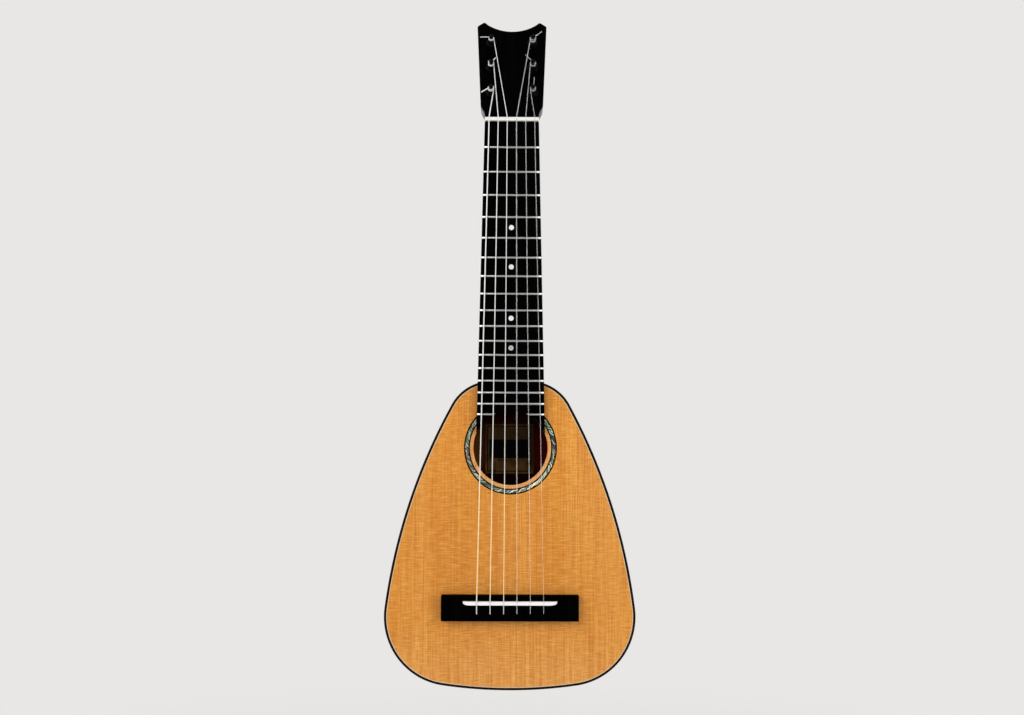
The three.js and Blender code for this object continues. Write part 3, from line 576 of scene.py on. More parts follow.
def wound_material():
    g = Surface("wound_string", Metallic=0.4, Specular_IOR_Level=0.5)
    inputs = {"Vector": g.place, "Scale": WAVE_LENGTH / (WINDING_PITCH * MM)}
    turns = g.node("TexWave", inputs, bands_direction="Z")["Fac"]
    # Painted shade: each winding turn darkens towards the grooves between turns
    base = g.ramp(turns, (0.0, rgb(202, 201, 198)), (0.7, rgb(246, 245, 243)))
    # Painted reflection of warm light from the soundboard
    g.color(painted_wood_glow(g, base, 0.85, rgb(255, 232, 170)))
    g.rough(turns, 0.5, 0.34, 0, 1)
    g.bump(turns, 0.00003, 0.6)
    return g.owner


def nylon_material():
    g = Surface("clear_string", IOR=1.06, Transmission_Weight=0.8, Coat_Weight=0.5, Coat_Roughness=0.1)
    cloud = g.noise((300, 300, 30), 2)
    base = g.ramp(cloud, (0.3, rgb(246, 246, 244)), (0.7, rgb(252, 252, 251)))
    # Painted reflection of warm light from the soundboard
    g.color(painted_wood_glow(g, base, 0.6, rgb(255, 228, 176)))
    g.rough(cloud, 0.2, 0.12)
    return g.owner


def shell_material():
    """Strokes of shell in many tones, divided by dark edges, which lean round the soundhole, with painted
    shade on the left side.
    """
    g = Surface("shell", Coat_Weight=0.4, Coat_Roughness=0.1, Specular_IOR_Level=0.5)
    x, rise, squares = from_hole(g)
    around = g.math("MULTIPLY", g.math("ARCTAN2", rise, x), SHELL_STROKES / TAU)
    outward = g.math("MULTIPLY", g.math("POWER", squares, 0.5), 1 / (SHELL_STROKE_PITCH * MM))
    wander = g.fit(g.noise((170, 170, 170), 2, 0.5), 0.2, 0.8, -1.1, 1.1)
    phase = g.math("ADD", g.math("ADD", around, outward), wander)
    toss = g.node("TexWhiteNoise", {"W": g.math("FLOOR", phase)}, noise_dimensions="1D")["Value"]
    tones = g.ramp(
        toss,
        (0.0, rgb(30, 26, 22)),
        (0.12, rgb(96, 130, 120)),
        (0.3, rgb(150, 206, 170)),
        (0.44, rgb(228, 240, 200)),
        (0.72, rgb(255, 248, 218)),
        (0.86, rgb(180, 210, 196)),
        (1.0, rgb(84, 60, 44)),
    )
    middle = g.math("ABSOLUTE", g.math("SUBTRACT", g.math("FRACT", phase), 0.5))
    stroke_width = g.fit(g.noise((140, 140, 140), 2, 0.5, shift=(4, 1, 0)), 0.35, 0.65, 0.14, 0.31)
    past_stroke = g.math("SUBTRACT", middle, g.math("SUBTRACT", 0.5, stroke_width))
    base = g.mix(g.math("MULTIPLY", past_stroke, 12, clamp=True), tones, rgb(3, 5, 5))
    bright = g.fit(g.noise((42, 42, 42), 2, 0.5, shift=(0, 2, 7)), 0.36, 0.5)
    base = g.mix(bright, g.mix(0.55, base, rgb(8, 14, 14)), base)
    # Painted shade: darker and browner towards the left side of the ring
    g.color(g.span(base, x, *SHELL_SHADE, 0.3, rgb(46, 30, 24)))
    g.rough(middle, 0.16, 0.3, 0, 0.5)
    return g.owner


def label_material(left, right, bottom, top):
    """Stained paper with a thin frame and a plain dark band; its tones are kept dark as painted shade, with
    more painted shade towards its right side and top.
    """
    g = Surface("paper", Specular_IOR_Level=0.1, Roughness=0.85)
    x, z = g.across_and_up()
    across = g.fit(x, left * MM, right * MM)
    up = g.fit(z, bottom * MM, top * MM)
    off_x = g.math("ABSOLUTE", g.math("SUBTRACT", across, 0.5))
    off_z = g.math("ABSOLUTE", g.math("SUBTRACT", up, 0.5))
    frame_line = g.math("COMPARE", g.math("MAXIMUM", off_x, off_z), 0.45, 0.008)
    dark_band = g.math("MULTIPLY", g.math("LESS_THAN", off_x, 0.41), g.math("LESS_THAN", off_z, 0.185))
    fibre = g.noise((500, 500, 500), 4, 0.7)
    stains = g.noise((120, 120, 90), 2, 0.5, shift=(1, 0, 4))
    # Painted shade: the paper's tones are set dark for the shade it lies in inside the body
    paper = g.ramp(fibre, (0.3, rgb(82, 64, 36)), (0.7, rgb(100, 80, 46)))
    # Pale stains that fade out towards the top: real stains, with the upper part left in painted shade
    stains_and_light = g.math("MULTIPLY", g.fit(stains, 0.42, 0.62), g.fit(up, 0.45, 0.1, 0.3, 1.0))
    paper = g.mix(stains_and_light, paper, rgb(150, 110, 56))
    # Painted shade: darker towards the right side
    paper = g.layer(paper, across, 0.55, 1, 0.5, rgb(46, 30, 18))
    g.color(g.mix(g.math("MAXIMUM", frame_line, dark_band), paper, rgb(12, 10, 10)))
    g.bump(fibre, 0.00005, 0.5)
    return g.owner


spruce = spruce_material()
side_wood = red_wood("side_wood", (5, 130, 5), [(28, 12, 9), (60, 25, 17), (90, 40, 26)])[0].owner
back_wood = back_material()
bare_back = bare_material()
neck_wood = red_wood("neck_wood", (75, 75, 2.6), [(44, 20, 14), (82, 38, 24), (112, 56, 36)], 0.6)[0].owner
ebony = ebony_material("ebony", 0.6)
ebony_face = ebony_material("head_face", 0.55)
tones = (0.3, rgb(16, 5, 0)), (0.7, rgb(34, 14, 5))
binding_black = cloudy_material("binding", (60, 60, 60), 2, 0.55, tones, 0.3, 0.4, Specular_IOR_Level=0.05)
inner_wood = pale_wood_material("inner_wood", (300, 300, 12), rgb(168, 120, 72), rgb(200, 152, 98))
block_wood = pale_wood_material("block_wood", (180, 180, 14), rgb(140, 84, 54), rgb(172, 112, 74))
pale_line = pale_wood_material("pale_line", (400, 400, 60), rgb(206, 186, 150), rgb(228, 210, 178))
bone = bone_material("bone_nut", rgb(246, 244, 239), rgb(232, 229, 221))
bone_white = bone_material("bone_saddle", rgb(255, 254, 252), rgb(250, 248, 244))
pearl = bone_material("pearl", rgb(252, 252, 249), rgb(222, 225, 222))
dull_pearl = bone_material("dull_pearl", rgb(204, 206, 204), rgb(160, 163, 161))
# Painted reflection: a pale grey for the gleam on the head's low cheeks beside the veneer
painted_cheek_glare = bone_material("painted_cheek_glare", rgb(168, 166, 164), rgb(132, 130, 128))
fret_wire = fret_material()
wound = wound_material()
nylon = nylon_material()
peg_metal = gloss_black_material("peg_metal", 1, 0.3, 0.05)
button_black = gloss_black_material("peg_button", 7, 0.18, 0.3)
shell = shell_material()

# Mesh tools


@contextmanager
def edited(mesh):
    work = bmesh.new()
    work.from_mesh(mesh)
    yield work
    work.to_mesh(mesh)
    work.free()


def solid(name, points, faces):
    mesh = bpy.data.meshes.new(name)
    mesh.from_pydata([Vector(p) * MM for p in points], [], faces)
    obj = bpy.data.objects.new(name, mesh)
    bpy.context.scene.collection.objects.link(obj)
    with edited(mesh) as work:
        bmesh.ops.remove_doubles(work, verts=work.verts, dist=MERGE)
        bmesh.ops.recalc_face_normals(work, faces=work.faces)
    return obj


def loft(name, rings, loop=False):
    """Skins closed rings of equal counts; the ends are capped, or joined when loop is set."""
    count = len(rings[0])
    points = [p for ring in rings for p in ring]
    faces = []
    for r in range(len(rings) if loop else len(rings) - 1):
        here, there = r * count, ((r + 1) % len(rings)) * count
        for i in range(count):
            j = (i + 1) % count
            faces.append((here + i, here + j, there + j, there + i))
    if not loop:
        faces.append(tuple(range(count)))
        faces.append(tuple(range(len(points) - count, len(points))))
    return solid(name, points, faces)


def lathe(name, profile, sides, place=Matrix()):
    """Turns (radius, y) points around Y; the profile closes on itself or ends on the axis."""
    points, faces, rows = [], [], []
    for radius, y in profile:
        ring = circle(radius, sides) if radius else [(0, 0)]
        rows.append([len(points) + i % len(ring) for i in range(sides)])
        points += [place @ Vector((x, y, z)) for x, z in ring]
    if profile[0][0]:
        rows.append(rows[0])
    for here, there in zip(rows, rows[1:]):
        for i in range(sides):
            j = (i + 1) % sides
            face = tuple(dict.fromkeys((here[i], here[j], there[j], there[i])))
            if len(face) > 2:
                faces.append(face)
    return solid(name, points, faces)


def plug(radius, y0, y1, sides, place):
    return lathe("plug", [(0, y0), (radius, y0), (radius, y1), (0, y1)], sides, place)


def slab(name, loops, front, back, place=Matrix()):
    """A plate between two faces whose Y follows Z, drawn as an outer loop and holes in (x, z)."""
    flat = [[Vector((x, z, 0)) for x, z in loop] for loop in loops]
    triangles = tessellate_polygon(flat)
    outline = [p for loop in loops for p in loop]
    count = len(outline)
    points = [place @ Vector((x, front(z), z)) for x, z in outline]
    points += [place @ Vector((x, back(z), z)) for x, z in outline]
    faces = [tuple(t) for t in triangles] + [tuple(i + count for i in t) for t in triangles]
    start = 0
    for loop in loops:
        for i in range(len(loop)):
            a, b = start + i, start + (i + 1) % len(loop)
            faces.append((a, b, b + count, a + count))
        start += len(loop)
    return solid(name, points, faces)


def bar(name, x_range, y_range, z_range, place=Matrix()):
    (x0, x1), (y0, y1), (z0, z1) = x_range, y_range, z_range
    return slab(name, [[(x0, z0), (x1, z0), (x1, z1), (x0, z1)]], level(y0), level(y1), place)


def tube(name, route, radii, sides=14):
    rings = []
    side = Vector((1, 0, 0))
    for i, point in enumerate(route):
        heading = Vector()
        if i > 0:
            heading += (point - route[i - 1]).normalized()
        if i + 1 < len(route):
            heading += (route[i + 1] - point).normalized()
        heading.normalize()
        side = (side - heading * side.dot(heading)).normalized()
        across = heading.cross(side)
        rings.append([point + radii[i] * (x * side + y * across) for x, y in circle(1, sides)])
    return loft(name, rings)


def modify(obj, kind, **settings):
    step = obj.modifiers.new(kind, kind)
    for key, value in settings.items():
        setattr(step, key, value)


def evaluate(obj):
    """Puts the object's modifiers into its mesh."""
    depsgraph = bpy.context.evaluated_depsgraph_get()
    depsgraph.update()
    mesh = bpy.data.meshes.new_from_object(obj.evaluated_get(depsgraph))
    obj.modifiers.clear()
    obj.data = mesh


def carve(obj, cutters, kind="DIFFERENCE"):
    for cutter in cutters:
        modify(obj, "BOOLEAN", operation=kind, solver="EXACT", object=cutter)
    evaluate(obj)
    for cutter in cutters:
        bpy.data.objects.remove(cutter)


def ease(obj, width, segments=3, angle=60):
    """Rounds the edges that are sharper than the angle."""
    limit = math.radians(angle)
    modify(obj, "BEVEL", width=width * MM, segments=segments, limit_method="ANGLE", angle_limit=limit)
    evaluate(obj)


def finish(obj, material, body="root", slot=None, replaces=(), angle=32, weighted=False):
    """Gives a piece its material and shading, and puts it on its body."""
    obj.data.materials.clear()
    obj.data.materials.append(material)
    with edited(obj.data) as work:
        for face in work.faces:
            face.smooth = True
        for edge in work.edges:
            if len(edge.link_faces) == 2:
                edge.smooth = edge.calc_face_angle(0) < math.radians(angle)
    if weighted:
        modify(obj, "WEIGHTED_NORMAL", keep_sharp=True)
    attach(obj, body)
    if replaces:
        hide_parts(*replaces)


def outline(inset):
    right = [(0, TAIL + inset)]
    for radius, first, last, steps in BENDS:
        x, z = right[-1]
        r = radius - inset
        a = math.radians(first)
        cx, cz = x - r * math.sin(a), z + r * math.cos(a)
        for i in range(1, steps + 1):
            heading = a + math.radians(last - first) * i / steps
            right.append((cx + r * math.sin(heading), cz - r * math.cos(heading)))
    return mirrored(right, 1)


def mirrored(right, skip=0):
    """A closed loop from its right half; the first points, on the middle, are skipped on the left."""
    return right + [(-x, z) for x, z in reversed(right[skip:])]


def band(name, profile):
    """Sweeps a cross-section of (inset, depth at z) round the body."""
    rings = [[(x, depth(z), z) for x, z in outline(inset)] for inset, depth in profile]
    return loft(name, rings, loop=True)


def level(y):
    return lambda z: y


def before_back(distance):
    return lambda z: back_face(z) - distance


def shifted(profile, by):
    return [(radius, y + by) for radius, y in profile]


def rounded(points, radii, steps=5):
    """Rounds a polygon's corners; each corner has its own radius."""
    result = []
    count = len(points)
    for i, (corner, radius) in enumerate(zip(points, radii)):
        here = Vector(corner)
        if radius == 0:
            result.append(tuple(here))
            continue
        before = (Vector(points[i - 1]) - here).normalized()
        after = (Vector(points[(i + 1) % count]) - here).normalized()
        reach = radius / math.tan(before.angle(after) / 2)
        for k in range(steps + 1):
            result.append(tuple(curve(here + before * reach, here, here + after * reach, k / steps)))
    return result


# Body


def edge_round(from_face):
    """A binding's rounded corner, from its side to its face."""
    profile = []
    for t in quarter(EDGE_STEPS):
        inset = EDGE_ROUND - EDGE_ROUND * math.cos(t)
        profile.append((inset, from_face(EDGE_ROUND - EDGE_ROUND * math.sin(t))))
    return profile


def binding(name, node, from_face):
    profile = [(0, from_face(BINDING_DEPTH))] + edge_round(from_face)
    profile += [(BINDING_WIDTH, from_face(0)), (BINDING_WIDTH, from_face(BINDING_DEPTH))]
    finish(band(name, profile), binding_black, slot="black_binding", replaces=[node])


def strip(name, inset, width, near, far):
    """A strip round the body between two depths."""
    return band(name, [(inset, near), (inset + width, near), (inset + width, far), (inset, far)])


def string_drills(y0, y1):
    drills = []
    for string in STRINGS:
        place = Matrix.Translation((string.at_bridge * SADDLE_HALF, 0, STRING_HOLES_Z))
        drills.append(plug(string.radius + STRING_HOLE_SLACK, y0, y1, 20, place))
    return drills


def ring(name, inside, outside, material, slot, **more):
    profile = [(inside, 0), (outside, 0), (outside, RING_DEPTH), (inside, RING_DEPTH)]
    finish(lathe(name, profile, HOLE_SIDES, at_hole), material, slot=slot, **more)


binding("binding_front", "top_binding", level)
binding("binding_rear", "back_binding", before_back)
side = strip("bent_side", 0, SIDE_THICKNESS, level(BINDING_DEPTH), before_back(BINDING_DEPTH))
finish(side, side_wood, slot="dark_red_wood", replaces=["side"])
purfling = strip("purfling_front", BINDING_WIDTH, PURFLING_WIDTH, level(0), level(PURFLING_DEPTH))
finish(purfling, pale_line, slot="inner_wood")
back_plate = slab("back_plate", [outline(BINDING_WIDTH)], before_back(BACK_THICKNESS), before_back(0))
finish(back_plate, back_wood, slot="dark_red_wood", replaces=["back"])
back_plate.data.materials.append(bare_back)
for face in back_plate.data.polygons:
    if face.normal.y < -0.5:
        face.material_index = 1

at_hole = Matrix.Translation((0, 0, HOLE_Z))
rim = HOLE_RADIUS + EDGE_ROUND
hole_profile = [(0, -CUT_PAST), (rim, -CUT_PAST)]
for t in quarter(EDGE_STEPS):
    hole_profile.append((rim - EDGE_ROUND * math.sin(t), EDGE_ROUND - EDGE_ROUND * math.cos(t)))
hole_profile += [(HOLE_RADIUS, CUT_DEEP), (0, CUT_DEEP)]
channel = [
    (CHANNEL_INSIDE, -CUT_PAST),
    (CHANNEL_OUTSIDE, -CUT_PAST),
    (CHANNEL_OUTSIDE, CHANNEL_DEPTH),
    (CHANNEL_INSIDE, CHANNEL_DEPTH),
]
board = slab("soundboard_plate", [outline(BINDING_WIDTH + PURFLING_WIDTH)], level(0), level(TOP_THICKNESS))
board_cuts = [lathe("cut", profile, HOLE_SIDES, at_hole) for profile in (hole_profile, channel)]
carve(board, board_cuts + string_drills(-CUT_PAST, CUT_DEEP))
finish(board, spruce, slot="spruce_top", replaces=["soundboard"], weighted=True)
ring("rosette_line_inner", LINE_INSIDE, SHELL_INSIDE, binding_black, "black_binding")
ring("rosette_shell", SHELL_INSIDE, SHELL_OUTSIDE, shell, "shell_inlay", replaces=["rosette"])
ring("rosette_line_outer", SHELL_OUTSIDE, LINE_OUTSIDE, binding_black, "black_binding")

left, right, bottom, top = LABEL
label_loop = [(left, bottom), (right, bottom), (right, top), (left, top)]
label_front = before_back(BACK_THICKNESS + LABEL_THICKNESS)
finish(slab("label", [label_loop], label_front, before_back(BACK_THICKNESS + SLIP)), label_material(*LABEL))

# Neck and head

tilt = math.radians(HEAD_TILT)
heel_top = BODY_TOP + HEEL_LENGTH
cheek_end = (NECK_DEPTH_AT_NUT + HEAD_DROP - HEAD_THICKNESS * math.cos(tilt)) / math.sin(tilt)
cheek_start = HEAD @ Vector((0, VENEER, 0))


def held(value):
    """The value, kept between zero and one."""
    return min(max(value, 0), 1)


def round_points(power, half, front, deep):
    """A half section of the neck from one side to the other, fuller as the power falls."""
    points = []
    for angle in sweep(math.pi, NECK_SIDES):
        cosine = math.cos(angle)
        across = math.copysign(abs(cosine) ** power, cosine)
        points.append((half * across, front + (deep - front) * max(math.sin(angle), 0) ** power))
    return points


def neck_ring(z):
    half = board_half(min(z, 0)) + (HEAD_BASE_HALF - NUT_WIDTH / 2) * max(z / cheek_start.z, 0)
    plain = NECK_DEPTH_AT_NUT + (NECK_DEPTH_AT_HEEL - NECK_DEPTH_AT_NUT) * held(z / heel_top)
    heel = HEEL_END_SHARE * held((heel_top - z) / HEEL_LENGTH)
    swoop = 1 - math.sqrt(1 - heel ** 2)
    deep = plain + (HEEL_SWEEP - NECK_DEPTH_AT_HEEL) * swoop
    power = NECK_FULLNESS + (HEEL_FULLNESS - NECK_FULLNESS) * swoop
    return [(x, y, z) for x, y in round_points(power, half, 0, deep)]


def cheek(shares, base_v=0):
    """The head's low side as (half width, level) points."""
    flare = HEAD_LOW_HALF - HEAD_BASE_HALF
    return [(HEAD_BASE_HALF + flare * out, base_v + (HEAD_LOW_V - base_v) * up) for out, up in shares]


def head_half(v, depth_share=0):
    """Half the head's width at its level v; its low sides flare out later towards the back."""
    late = CHEEK_DRAFT * depth_share
    if v < HEAD_LOW_V:
        v = max(HEAD_LOW_V * (v - late) / (HEAD_LOW_V - late), 0)
    corners = cheek(WOOD_CHEEK) + [HEAD_TOP]
    for (x0, v0), (x1, v1) in zip(corners, corners[1:]):
        if v <= v1:
            return x0 + (x1 - x0) * (v - v0) / (v1 - v0)


def cheek_ring(v, inset=0):
    """A section where the neck turns into the head: round at the nut and square at the end."""
    share = min(v / cheek_end, 1)
    square = share * share * (3 - 2 * share)
    face = HEAD @ Vector((0, VENEER, v))
    shaft = (NECK_DEPTH_AT_NUT + HEAD_DROP - v * math.sin(tilt)) / math.cos(tilt)
    deep = max(shaft, HEAD_THICKNESS) - VENEER
    flat_start = SIDE_STEPS + ROUND_STEPS
    points = []
    for i, (x, y) in enumerate(round_points(NECK_FULLNESS, head_half(v), face.y, NECK_DEPTH_AT_NUT)):
        step = min(i, NECK_SIDES - i)
        turn = math.pi / 2 * held((step - SIDE_STEPS) / ROUND_STEPS)
        depth = (deep - HEAD_ROUND) * min(step / SIDE_STEPS, 1) + HEAD_ROUND * math.sin(turn)
        half = head_half(v, min(depth / (HEAD_THICKNESS - VENEER), 1))
        half -= HEAD_ROUND * (1 - math.cos(turn)) + inset
        if step > flat_start:
            half *= (NECK_SIDES / 2 - step) / (NECK_SIDES / 2 - flat_start)
        squared = HEAD @ Vector((math.copysign(half, x), VENEER + max(depth - inset, inset), v))
        points.append(tuple(Vector((x, y, face.z)).lerp(squared, square)))
    return points


def head_outline(shares, base_v):
    low = cheek(shares, base_v)
    horn_foot = (HORN[0] - HORN_SLOPE[0], HORN[1] - HORN_SLOPE[1])
    side = rounded([low[-1], HEAD_TOP, HORN, horn_foot], [0, HEAD_CORNER, 1.4 * HEAD_CORNER, 0], 8)
    rise = HORN[1] - SCOOP_V
    radius = (HORN[0] ** 2 + rise ** 2) / (2 * rise)
    spread = math.asin(HORN[0] / radius)
    scoop = []
    for i in range(1, SCOOP_STEPS):
        angle = spread * (1 - 2 * i / SCOOP_STEPS)
        x = radius * math.sin(angle)
        if abs(x) < HORN[0] - HORN_TIP:
            scoop.append((x, SCOOP_V + radius - radius * math.cos(angle)))
    right_side = low[:-1] + side[:-1]
    return right_side + scoop + [(-x, v) for x, v in reversed(right_side)]


def peg_place(sign, row):
    return HEAD @ Matrix.Translation((sign * PEG_OFFSET, 0, PEG_FIRST + PEG_PITCH * row))


def peg_drills():
    places = [peg_place(sign, row) for sign in (-1, 1) for row in range(3)]
    return [plug(PEG_BORE, -CUT_PAST, HEAD_THICKNESS + CUT_PAST, 32, place) for place in places]


rings = [cheek_ring(cheek_end + CHEEK_TONGUE, TONGUE_INSET), cheek_ring(cheek_end, JOINT_INSET)]
rings += [cheek_ring(cheek_end * (1 - i / CHEEK_STEPS)) for i in range(1, CHEEK_STEPS + 1)]
heel_zs = [heel_top - HEEL_LENGTH * math.sin(t) for t in quarter(HEEL_STEPS)[:-1]]
rings += [neck_ring(z) for z in NECK_STATIONS + [heel_top + HEEL_EASE] + heel_zs + [BODY_TOP + HEEL_FIT]]
rings.append([(x, y, BODY_TOP - NECK_TENON) for x, y, z in rings[-1]])
neck = loft("neck_and_head", rings)
wood_slab = slab("head_wood", [head_outline(WOOD_CHEEK, 0)], level(0), level(HEAD_THICKNESS), HEAD)
ease(wood_slab, HEAD_ROUND)
wide = (-CUT_WIDE, CUT_WIDE)
below = bar("below", wide, (-CUT_FAR, 2 * CUT_FAR), (-2 * CUT_FAR, cheek_end - JOINT_OVERLAP), HEAD)
before = bar("before", wide, (-CUT_FAR, VENEER), (-2 * CUT_FAR, CUT_HEAD), HEAD)
carve(wood_slab, [below, before])
carve(neck, [wood_slab], "UNION")
body_space = slab("body_space", [outline(-SLIP)], level(-NECK_TENON), level(CUT_DEEP + DEPTH_AT_TAIL))
past_cap = bar("past_cap", wide, (HEEL_CAP, 2 * HEEL_SWEEP), (BODY_TOP - CUT_FAR, heel_top))
carve(neck, [body_space, past_cap] + peg_drills())
finish(neck, neck_wood, slot="dark_red_wood", replaces=["neck"], angle=38, weighted=True)
neck.data.materials.append(ebony)
neck.data.materials.append(painted_cheek_glare)
head_front = HEAD.to_3x3() @ Vector((0, -1, 0))
cap_level = (HEEL_CAP - HEEL_CAP_THICKNESS) * MM
with edited(neck.data) as work:
    everything = list(work.verts) + list(work.edges) + list(work.faces)
    bmesh.ops.bisect_plane(work, geom=everything, plane_co=(0, cap_level, 0), plane_no=(0, 1, 0))
    for face in work.faces:
        if face.calc_center_median().y > cap_level:
            face.material_index = 1
        # Front-facing wood beside the veneer takes the painted reflection of the cheeks' gleam
        if face.normal.dot(head_front) > 0.999:
            face.material_index = 2

veneer = slab("head_veneer", [head_outline(FACE_CHEEK, VENEER_BASE_V)], level(0), level(VENEER), HEAD)
ease(veneer, VENEER_EDGE, 2)
carve(veneer, peg_drills())
finish(veneer, ebony_face, slot="black_wood", replaces=["headstock_face"], weighted=True)

# Fretboard, frets and nut

end_half = board_half(BOARD_END)
corners = [(-board_half(0), 0), (-end_half, BOARD_END), (end_half, BOARD_END), (board_half(0), 0)]
board_loop = rounded(corners, [BOARD_CORNER, 0, 0, BOARD_CORNER])
fretboard = slab("fingerboard", [board_loop], level(-BOARD_THICKNESS), level(-SLIP))
ease(fretboard, BOARD_EDGE, 2)
cutters = [plug(HOLE_RADIUS, -CUT_FAR, CUT_PAST, HOLE_SIDES, at_hole)]
for number in range(1, FRET_COUNT + 1):
    z = fret_at(number)
    half_slot = TANG_WIDTH / 2 + SLIP
    depth = (-CUT_DEEP, TANG_DEPTH - BOARD_THICKNESS)
    cutters.append(bar("slot", (-CUT_WIDE, CUT_WIDE), depth, (z - half_slot, z + half_slot)))
carve(fretboard, cutters)
finish(fretboard, ebony, slot="black_wood", replaces=["fretboard"], weighted=True)


def fret(label, z, x0, x1, spaces=()):
    """A length of fret wire: a tang in its slot under a round crown."""
    height = -BOARD_THICKNESS - FRET_TOP
    tang = TANG_WIDTH / 2
    section = [(tang, TANG_DEPTH), (-tang, TANG_DEPTH), (-tang, 0)]
    for t in sweep(math.pi, CROWN_STEPS):
        section.append((-math.cos(t) * CROWN_WIDTH / 2, -height * math.sin(t)))
    section.append((tang, 0))
    stations = [(x0 + run, share) for run, share in FRET_END]
    stations += [(x1 - run, share) for run, share in reversed(FRET_END)]
    rings = []
    for x, share in stations:
        rings.append([(x, -BOARD_THICKNESS + (d * share if d < 0 else d), z + w) for w, d in section])
    wire = loft(f"fret_wire_{label}", rings)
    if spaces:
        carve(wire, spaces)
    finish(wire, fret_wire, slot="fret_wire", replaces=[f"fret_{label}"], angle=50)


for number in range(1, FRET_COUNT + 1):
    z = fret_at(number)
    half = board_half(z) - FRET_INSET
    if z - HOLE_Z > HOLE_RADIUS:
        fret(number, z, -half, half)
    else:
        for part, x0, x1 in (("bass", -half, 0), ("treble", 0, half)):
            space = plug(HOLE_RADIUS + FRET_GAP_AT_HOLE, -CUT_FAR, CUT_PAST, HOLE_SIDES, at_hole)
            fret(f"{number}_{part}", z, x0, x1, [space])

for number in DOT_FRETS:
    place = Matrix.Translation((0, 0, (fret_at(number) + fret_at(number - 1)) / 2))
    dot = lathe(f"position_dot_{number}", shifted(DOT_PROFILE, -BOARD_THICKNESS), 40, place)
    finish(dot, dull_pearl if number == DOT_FRETS[-1] else pearl, slot="shell_inlay")

nut = bar("nut_bar", (-NUT_WIDTH / 2, NUT_WIDTH / 2), (NUT_TOP, -SLIP), (NUT_SLIP, NUT_BACK - NUT_SLIP))
ease(nut, NUT_EDGE, 4)
nut_cuts = []
for string in STRINGS:
    x = string.at_nut * NUT_WIDTH / 2
    r = string.radius + NUT_SLOT_SLACK
    half_turn = sweep(math.pi, NUT_SLOT_STEPS)
    section = [(x + r * math.cos(a), STRING_LINE + r * math.sin(a)) for a in half_turn]
    section += [(x - r, NUT_TOP - NUT_CUT_PAST), (x + r, NUT_TOP - NUT_CUT_PAST)]
    ends = (-NUT_CUT_PAST, NUT_BACK + NUT_CUT_PAST)
    nut_cuts.append(loft("slot", [[(px, py, z) for px, py in section] for z in ends]))
carve(nut, nut_cuts)
finish(nut, bone, slot="bone", replaces=["nut"], weighted=True)

# Bridge and saddle


def saddle_tail_edge(x):
    """The saddle's edge towards the tail, which curves in near both ends."""
    share = max(abs(x) - SADDLE_HALF + SADDLE_NOSE, 0) / SADDLE_NOSE
    return SADDLE_Z - SADDLE_LENGTH / 2 + SADDLE_NOSE_CUT * (1 - math.sqrt(max(1 - share ** 2, 0)))


def saddle_slot():
    head_edge = SADDLE_Z + SADDLE_LENGTH / 2 + SLIP
    xs = [SADDLE_HALF - SADDLE_NOSE + SADDLE_NOSE * math.sin(t) for t in quarter(SADDLE_NOSE_STEPS)]
    tail = [(x, saddle_tail_edge(x) - SLIP) for x in xs]
    tail.append((SADDLE_HALF + SLIP, tail[-1][1]))
    loop = mirrored([(SADDLE_HALF + SLIP, head_edge)] + list(reversed(tail)))
    return slab("slot", [loop], level(-CUT_FAR), level(SADDLE_FLOOR))


def saddle_piece():
    inner = SADDLE_HALF - SADDLE_SHOULDER
    stations = []
    for i in range(SADDLE_NOSE_STEPS + 1):
        t = i / SADDLE_NOSE_STEPS
        x = curve(SADDLE_HALF, SADDLE_HALF, inner, t)
        stations.append((x, curve(BRIDGE_TOP, SADDLE_TOP, SADDLE_TOP, t)))
    row = [(-x, y) for x, y in stations] + list(reversed(stations))
    head_edge = SADDLE_Z + SADDLE_LENGTH / 2
    floor_y = SADDLE_FLOOR - SLIP
    turns = quarter(SADDLE_ROUND_STEPS)
    rings = []
    for x, y in row:
        tail_edge = saddle_tail_edge(x)
        section = [(x, floor_y, tail_edge)]
        for t in turns:
            inset = SADDLE_ROUND * (1 - math.cos(t))
            section.append((x, y + SADDLE_ROUND * (1 - math.sin(t)), tail_edge + inset))
        for t in reversed(turns):
            inset = SADDLE_ROUND * (1 - math.cos(t))
            section.append((x, y + SADDLE_ROUND * (1 - math.sin(t)), head_edge - inset))
        section.append((x, floor_y, head_edge))
        rings.append(section)
    finish(loft("saddle_bone", rings), bone_white, slot="bone", replaces=["saddle"], angle=50)


bridge_width = (-BRIDGE_HALF, BRIDGE_HALF)
bridge = bar("bridge_block", bridge_width, (BRIDGE_TOP, BRIDGE_TENON), (BRIDGE_BACK, BRIDGE_FRONT))
ease(bridge, BRIDGE_EDGE)
bridge_run = (BRIDGE_BACK - CUT_PAST, BRIDGE_FRONT + CUT_PAST)
keep_off = bar("keep_off", (-CUT_WIDE, CUT_WIDE), (-SLIP, CUT_DEEP), bridge_run)
carve(bridge, [keep_off, saddle_slot()] + string_drills(-CUT_FAR, CUT_PAST))
finish(bridge, ebony, slot="black_wood", replaces=["bridge"], weighted=True)
saddle_piece()

# Strings and pegs


